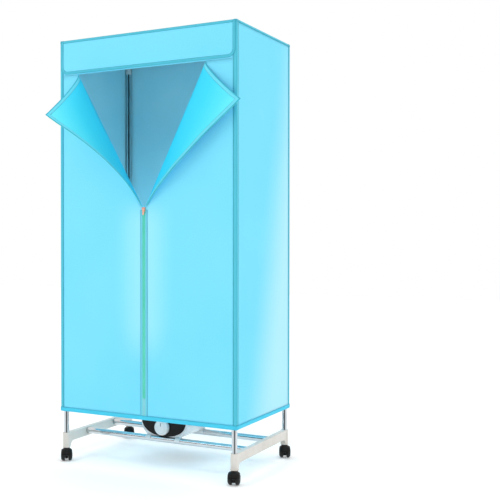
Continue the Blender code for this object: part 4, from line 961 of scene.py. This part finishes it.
def make_flap(side, sign):
    """An open door corner: cloth with its coated side out, bound edges and its half of the zip."""
    body = "door_flap_" + side
    length, _, tip_reach = flap_sizes(sign)
    outline = flap_edge(sign, 0)
    bm = bmesh.new()
    reach_of = bm.verts.layers.float.new("from_fold")
    rows = add_loft(bm, [[flap_place(sign, rise, 0.0002 + (width - 0.0002) * s, 0)
                          for s in shares(22)] for rise, width in outline])
    # The share out from the fold, which sets the inner side's painted shade
    for row, (rise, width) in zip(rows, outline):
        for vert, s in zip(row, shares(22)):
            vert[reach_of] = min(1.0, width * s / tip_reach * 1.05)
    if sign < 0:
        for face in bm.faces:
            face.normal_flip()
    bm.normal_update()
    cloth = new_piece("door_corner_cloth_" + side, bm, (FLAP_LINING, COVER), "flap_cloth", body)
    thicken(cloth, CLOTH * 0.9, other_side=1)
    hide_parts("door_flap_" + side)

    bm = bmesh.new()
    edge, inner = flap_edge(sign, -0.0005), flap_edge(sign, FLAP_BAND)
    add_loft(bm, [[flap_place(sign, *place, TAPE_LIFT + 0.0003)
                   for place in spread(outer, inside, 4)] for outer, inside in zip(edge, inner)],
             True)
    if sign > 0:
        for face in bm.faces:
            face.normal_flip()
    band = new_piece("door_corner_band_" + side, bm, (FLAP_BINDING,), "flap_cloth", body)
    thicken(band, TAPE)
    line = [flap_place(sign, *place, TAPE_LIFT + 0.0008)
            for place in flap_edge(sign, FLAP_BAND - STITCH_INSET)]
    stitches = row_piece("door_corner_stitches_" + side, [line], STITCHING, "flap_cloth", body)
    line = [flap_place(sign, *place, -0.0002) for place in edge[:FLAP_STEPS]]
    teeth = row_piece("door_corner_teeth_" + side, [line], FLAP_TEETH, "zip_teeth", body)
    area = sum((a[1] + b[1]) / 2 * (b[0] - a[0]) for a, b in zip(outline, outline[1:]))
    return side, sign, cloth, [band, stitches, teeth], (length, tip_reach), area


# Frame, feet and casters
def make_tube(node):
    """A chromed tube with rounded ends in place of its plain solid."""
    low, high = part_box(node)
    size = high - low
    axis = max(range(3), key=lambda number: size[number])
    way = Vector([1.0 if number == axis else 0.0 for number in range(3)])
    length, radius, wall, soft = size[axis], min(size) / 2, 0.0006, 0.00024
    profile = [
        (radius - wall, soft), (radius - wall + soft, 0), (radius - soft, 0), (radius, soft),
        (radius, length - soft), (radius - soft, length), (radius - wall + soft, length),
        (radius - wall, length - soft)]
    tube = turned_piece(node + "_tube", (low + high) / 2 - way * length / 2, way, profile, CHROME,
                        "chrome_tube", sharp=30)
    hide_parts(node)


def make_feet():
    """Moulded side feet: a filleted copy of the solid, remeshed finely and relaxed, with a seam
    pad over each base bar's socket, and a collar on each leg."""
    for side, sign in SIDES.items():
        foot = new_piece("foot_moulding_" + side, solid_copy("foot_" + side), (FOOT_PLASTIC,),
                         "foot_plastic", clean=False)
        even = foot.modifiers.new("even", "REMESH")
        even.mode = "VOXEL"
        even.voxel_size = FOOT_VOXEL
        even.use_smooth_shade = True
        relax = foot.modifiers.new("relax", "SMOOTH")
        relax.factor = 0.5
        relax.iterations = 7
        foot.modifiers.new("fewer", "DECIMATE").ratio = 0.5
        settle(foot)
        foot.data.shade_smooth()
        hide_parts("foot_" + side)
        low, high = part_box("foot_" + side)
        face = (low.x + high.x) / 2 + sign * FOOT_FACE
        near, far = sorted((face, face + sign * 0.0010))
        pads_piece("foot_ribs_" + side, [
            ((near, MIDDLE.y + bar - 0.0016, 0.072), (far, MIDDLE.y + bar + 0.0016, 0.094))
            for bar in BASE_BARS], 0.0004, FOOT_PLASTIC, "foot_plastic")
    profile = [(0.0120, 0.0004), (0.0142, 0.0004), (0.0150, 0.0011), (0.0150, 0.0026),
               (0.0143, 0.0034), (0.0131, 0.0036), (0.0120, 0.0036)]
    for corner in CORNERS:
        low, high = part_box("lower_post_" + corner)
        place = ((low.x + high.x) / 2, (low.y + high.y) / 2, COLLAR_SEAT)
        turned_piece("leg_collar_" + corner, place, UP, profile, FOOT_PLASTIC, "foot_plastic")


def make_caster(corner):
    """A twin-wheel caster: a rounded hood over both wheels, and wheels with stepped hub faces."""
    body = "caster_swivel_" + corner
    roll = JOINTS["roll_" + corner]
    centre, axle = Vector(roll["pos_m"]), Vector(roll["axis"]).normalized()
    stem = Vector(JOINTS["swivel_" + corner]["pos_m"])
    ahead = Vector((stem.x - centre.x, stem.y - centre.y, 0)).normalized()

    def around(degrees, radius, side):
        angle = radians(degrees)
        return centre + (ahead * cos(angle) + UP * sin(angle)) * radius + axle * side

    # The hood follows the wheels' rounded treads, so that it draws in towards its crown
    bm = bmesh.new()
    add_loft(bm, [[around(degrees, HOOD_RADIUS - 0.0056 * abs(s) ** 5.5, HOOD_HALF * s) - MIDDLE
                   for s in spread(-1, 1, 20)] for degrees in spread(*HOOD_ARC, 22)])
    bmesh.ops.recalc_face_normals(bm, faces=bm.faces)
    first = bm.faces[:][0]
    if first.normal.dot(first.calc_center_median() - centre) < 0:
        bmesh.ops.reverse_faces(bm, faces=bm.faces)
    hood = new_piece("caster_hood_" + corner, bm, (CASTER_PLASTIC,), "caster_plastic", body)
    thicken(hood, 0.0022, -1.0)
    soften_edges(hood, 0.0007, 3, 50)
    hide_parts("caster_housing_" + corner)

    # The web between the wheels carries their axle
    bm = bmesh.new()
    outline = [(degrees, 0.0222) for degrees in spread(*HOOD_ARC, 16)]
    outline += [(degrees, 0.0134) for degrees in spread(190, 394, 20)]
    plate = [bm.verts.new(around(degrees, radius, -WEB_HALF)) for degrees, radius in outline]
    grown = bmesh.ops.extrude_face_region(bm, geom=[bm.faces.new(plate)])["geom"]
    bmesh.ops.translate(bm, vec=axle * 2 * WEB_HALF,
                        verts=[part for part in grown if isinstance(part, bmesh.types.BMVert)])
    bmesh.ops.recalc_face_normals(bm, faces=bm.faces)
    web = new_piece("caster_web_" + corner, bm, (CASTER_PLASTIC,), "caster_plastic", body, 35)
    soften_edges(web, 0.0006, 2, 50)

    post = [(0.0, 0.0262), (0.0049, 0.0262), (0.0050, 0.0382), (0.0072, 0.0397), (0.0106, 0.0405),
            (0.0114, 0.0412), (0.0115, 0.0420), (0.0115, 0.0438), (0.0110, 0.0445),
            (0.0100, 0.0447), (0.0040, 0.0447), (0.0040, 0.0617), (0.0034, 0.0625), (0.0, 0.0625)]
    turned_piece("caster_stem_" + corner, (stem.x, stem.y, 0), UP, post, CASTER_PLASTIC,
                 "caster_plastic", body)
    half = [(0.0030, 0.0056), (0.0160, 0.0056), (0.0182, 0.0063), (0.0195, 0.0080),
            (0.0200, 0.0100), (0.0199, 0.0124), (0.0192, 0.0148), (0.0178, 0.0169),
            (0.0158, 0.0187), (0.0136, 0.0198), (0.0120, 0.0200), (0.0114, 0.0191),
            (0.0094, 0.0189), (0.0087, 0.0199), (0.0050, 0.0206), (0.0, 0.0207)]
    profile = [(radius, -height) for radius, height in half[::-1]] + half
    wheels = turned_piece("caster_wheel_pair_" + corner, centre, axle, profile, WHEEL_PLASTIC,
                          "caster_wheel", "wheels_" + corner)
    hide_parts("caster_wheels_" + corner)


# Heater
def fascia_ring(share, out, low, high):
    """A ring of the black front's outline, drawn in by the share: a bowl below, flat above."""
    middle, half, widest = (low.x + high.x) / 2, (high.x - low.x) / 2, high.z - FASCIA_CROWN
    ring = []
    for step in range(FASCIA_SIDES):
        turn = tau * step / FASCIA_SIDES
        side, rise = cos(turn), sin(turn)
        across = copysign(abs(side) ** FASCIA_ROUNDNESS, side)
        if rise < 0:
            tall = -(widest - low.z) * abs(rise) ** FASCIA_ROUNDNESS
        else:
            tall = FASCIA_CROWN * rise ** 0.5
        ring.append((middle + half * share * across, low.y + out, widest + tall * share))
    return ring


def make_heater():
    """White shells, the domed black front with its light bar, and the knob with a ribbed rim."""
    for part in ("base", "cover"):
        bevelled_copy("heater_" + part + "_shell", "heater_" + part, 0.0007, HEATER_SHELL,
                      "heater_shell")
    low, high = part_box("heater_fascia")
    bm = bmesh.new()
    rings = [[bm.verts.new(place) for place in fascia_ring(share, out, low, high)]
             for share, out in (
                 (0.97, 0.0029), (1.0, 0.0020), (1.0, 0.0004), (0.985, -0.0006), (0.93, -0.0016),
                 (0.80, -0.0030), (0.62, -0.0040), (0.42, -0.0047), (0.20, -0.0050))]
    join_rings(bm, rings)
    bm.faces.new(rings[0][::-1])
    bm.faces.new(rings[-1])
    bmesh.ops.recalc_face_normals(bm, faces=bm.faces)
    front = new_piece("heater_front_panel", bm, (HEATER_GLOSS,), "heater_gloss", sharp=50)
    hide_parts("heater_fascia")
    middle = (low.x + high.x) / 2
    pads_piece("heater_light_bar", [((middle - 0.0195, low.y + 0.0018, 0.1695),
                                     (middle + 0.0195, low.y + 0.0090, 0.1765))],
               0.0012, LIGHT_BAR, "inner_plastic")

    knob_low, knob_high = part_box("timer_knob")
    x, z = (knob_low.x + knob_high.x) / 2, (knob_low.z + knob_high.z) / 2
    back = low.y - 0.0045
    shaft, face = knob_high.y - back, back - KNOB_DEPTH
    # From the rim in: how far in, and how far below the knob's face
    dial = [(0.0008, 0.0040), (0.0020, 0.0016), (0.0040, 0.0004), (0.0060, 0.0001),
            (0.0072, 0.0006), (0.0078, 0.0015), (0.0086, 0.0015), (0.0093, 0.0005)]
    profile = [(0.0, -shaft), (0.004, -shaft), (0.004, 0.0), (KNOB_RIM - 0.0006, 0.0),
               (KNOB_RIM, 0.0006), (KNOB_RIM - 0.0002, KNOB_DEPTH * 0.5)]
    profile += [(KNOB_RIM - inward, KNOB_DEPTH - below) for inward, below in dial]
    profile += [(0.0140, KNOB_DEPTH - 0.0001), (0.0, KNOB_DEPTH)]
    knob = turned_piece("timer_knob_moulding", (x, back, z), AHEAD, profile, KNOB_PLASTIC,
                        "knob_plastic", "timer_knob", 64)
    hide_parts("timer_knob")
    surround = [(0.0285, 0.0), (0.0318, 0.0), (0.0322, 0.0014), (0.0314, 0.0024),
                (0.0296, 0.0026), (0.0285, 0.0018)]
    turned_piece("knob_surround", (x, back + 0.0008, z), AHEAD, surround, HEATER_GLOSS,
                 "heater_gloss", sides=72)
    ring = [Vector((x + KNOB_RIM * cos(a), back - KNOB_DEPTH * 0.42, z + KNOB_RIM * sin(a)))
            - MIDDLE for a in spread(0, tau, 96)]
    row_piece("timer_knob_ribs", [ring], RIBBING, "knob_plastic", "timer_knob")
    pads_piece("timer_knob_pointer", [((x - 0.0010, face - 0.0006, z + 0.005),
                                       (x + 0.0010, face + 0.0010, z + 0.0165))],
               0.0004, INNER_PLASTIC, "knob_plastic", "timer_knob")


def dress_nodes():
    """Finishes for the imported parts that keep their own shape."""
    joints = [kind + corner for kind in ("mid_connector_", "top_corner_") for corner in CORNERS]
    for material, nodes in (
            (INNER_PLASTIC, ("intake_grille", "outlet_grille", "fan_impeller")),
            (MOTOR_STEEL, ("fan_motor",)), (ELEMENT_METAL, ("heating_element",)),
            (GLAND_RUBBER, ("cord_gland",)), (COIL, ("zip_chain",)),
            (CHROME, ("top_hanging_rod", "mid_hanging_rod")),
            (JOINT_PLASTIC, ["timer_unit"] + joints)):
        for node in nodes:
            data = frame["nodes"][node].data
            data.materials.clear()
            data.materials.append(material)


# Studio
def make_studio():
    """Pale floor, white surroundings, large soft lights, and the camera of the photograph."""
    mesh = bpy.data.meshes.new("studio_floor")
    mesh.from_pydata([(-9, -9, 0), (9, -9, 0), (9, 9, 0), (-9, 9, 0)], [], [(0, 1, 2, 3)])
    # A light table: matt, white, and lit a little from below, so that shadows stay pale
    mesh.materials.append(new_material("white_acrylic_light_table", {
        "Roughness": 0.9, "Base Color": linear("#FAFAFA"),
        "Emission Color": linear("#FFFFFF"), "Emission Strength": 0.15})[0])
    placed("studio_floor", mesh)

    # White all round, but for a dim strip of room low down in front, which chrome mirrors as lines
    world = bpy.data.worlds.new("studio")
    world.use_nodes = True
    tree = world.node_tree
    way = add(tree, "ShaderNodeTexCoord").outputs["Generated"]
    strip = smooth_share(tree, way, (("Y", -0.35, -0.65, None), ("Z", 0.20, 0.07, 0.20)))
    # Seen past the object, the room is white there too
    seen = add(tree, "ShaderNodeLightPath").outputs["Is Camera Ray"]
    mirrored = add(tree, "ShaderNodeMath", {"operation": "SUBTRACT", "use_clamp": True},
                   {"Value": strip, "Value_001": seen})
    mixed = add(tree, "ShaderNodeMix", {
        "data_type": "RGBA", "A_Color": linear("#FFFFFF"), "B_Color": linear("#24272A"),
    }, {"Factor_Float": mirrored.outputs[0]})
    background = tree.nodes["Background"]
    tree.links.new(socket(mixed.outputs, "Result_Color"), background.inputs["Color"])
    background.inputs["Strength"].default_value = 1.0
    bpy.context.scene.world = world

    for name, place, size, power in (
            ("key", (-1.9, -3.6, 3.1), 1.8, 28), ("fill", (3.4, -2.2, 2.2), 2.6, 10),
            ("top", (0.2, 0.4, 3.6), 2.4, 10)):
        data = bpy.data.lights.new(name, "AREA")
        data.energy = power
        data.size = size
        aim = Vector((0, 0, 0.7)) - Vector(place)
        placed(name, data, place).rotation_euler = aim.to_track_quat("-Z", "Y").to_euler()
    # A lamp inside stands in for the daylight that comes in through the thin cloth
    data = bpy.data.lights.new("through_cloth", "POINT")
    data.energy = 3
    data.shadow_soft_size = 0.12
    lamp = placed("through_cloth", data, MIDDLE + Vector((0, 0, 0.62)))
    lamp.visible_camera = False
    lamp.visible_glossy = False

    data = bpy.data.cameras.new("camera")
    data.sensor_width = 36
    data.lens = 64.18
    data.shift_x = 0.10
    camera = placed("camera", data, (1.5952, -2.6942, 0.796))
    camera.rotation_euler = (radians(90 - 0.736), 0, radians(28.35))
    bpy.context.scene.camera = camera
    bpy.context.scene.view_settings.view_transform = "Standard"


# The dryer
make_doors()
make_cover()
sewn_on, stitch_paths = [], []
for make in (make_bindings, make_hem, make_zip_tape):
    piece, paths = make()
    sewn_on.append(piece)
    stitch_paths += paths
sewn_on.append(make_fold_rolls())
sewn_on.append(row_piece("cover_stitches", stitch_paths, STITCHING, "cover_cloth"))
for (side, sign), shift in zip(SIDES.items(), (0, TOOTH_PITCH / 2)):
    row_piece("zip_coil_" + side, [[
        (sign * COIL_SIDE, FRONT - 0.0003, z) for z in (HEM + ZIP_END + shift, SPLIT - 0.0035)]],
        TEETH, "zip_teeth")
valance_cloth, valance_trim, valance_area = make_valance()
door_corners = [make_flap(side, sign) for side, sign in SIDES.items()]

for bar in ("base_bar_front", "base_bar_rear", "top_bar_front", "top_bar_rear",
            "top_side_bar_left", "top_side_bar_right", "mid_side_bar_left", "mid_side_bar_right"):
    make_tube(bar)
for corner in CORNERS:
    make_tube("lower_post_" + corner)
    make_tube("upper_post_" + corner)
make_feet()
for corner in CORNERS:
    make_caster(corner)
bevelled_copy("zip_slider_body", "zip_slider", 0.0004, SLIDER_ENAMEL, "zip_metal", "zip_slider")
bevelled_copy("zip_pull_tab", "zip_pull", 0.0004, SLIDER_ENAMEL, "zip_metal", "zip_pull")
make_heater()
dress_nodes()

for piece, body, slot in PIECES:
    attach(piece, body)
for side, sign, cloth, trim, flat, area in door_corners:
    for piece in [cloth] + trim:
        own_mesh(piece)

make_studio()
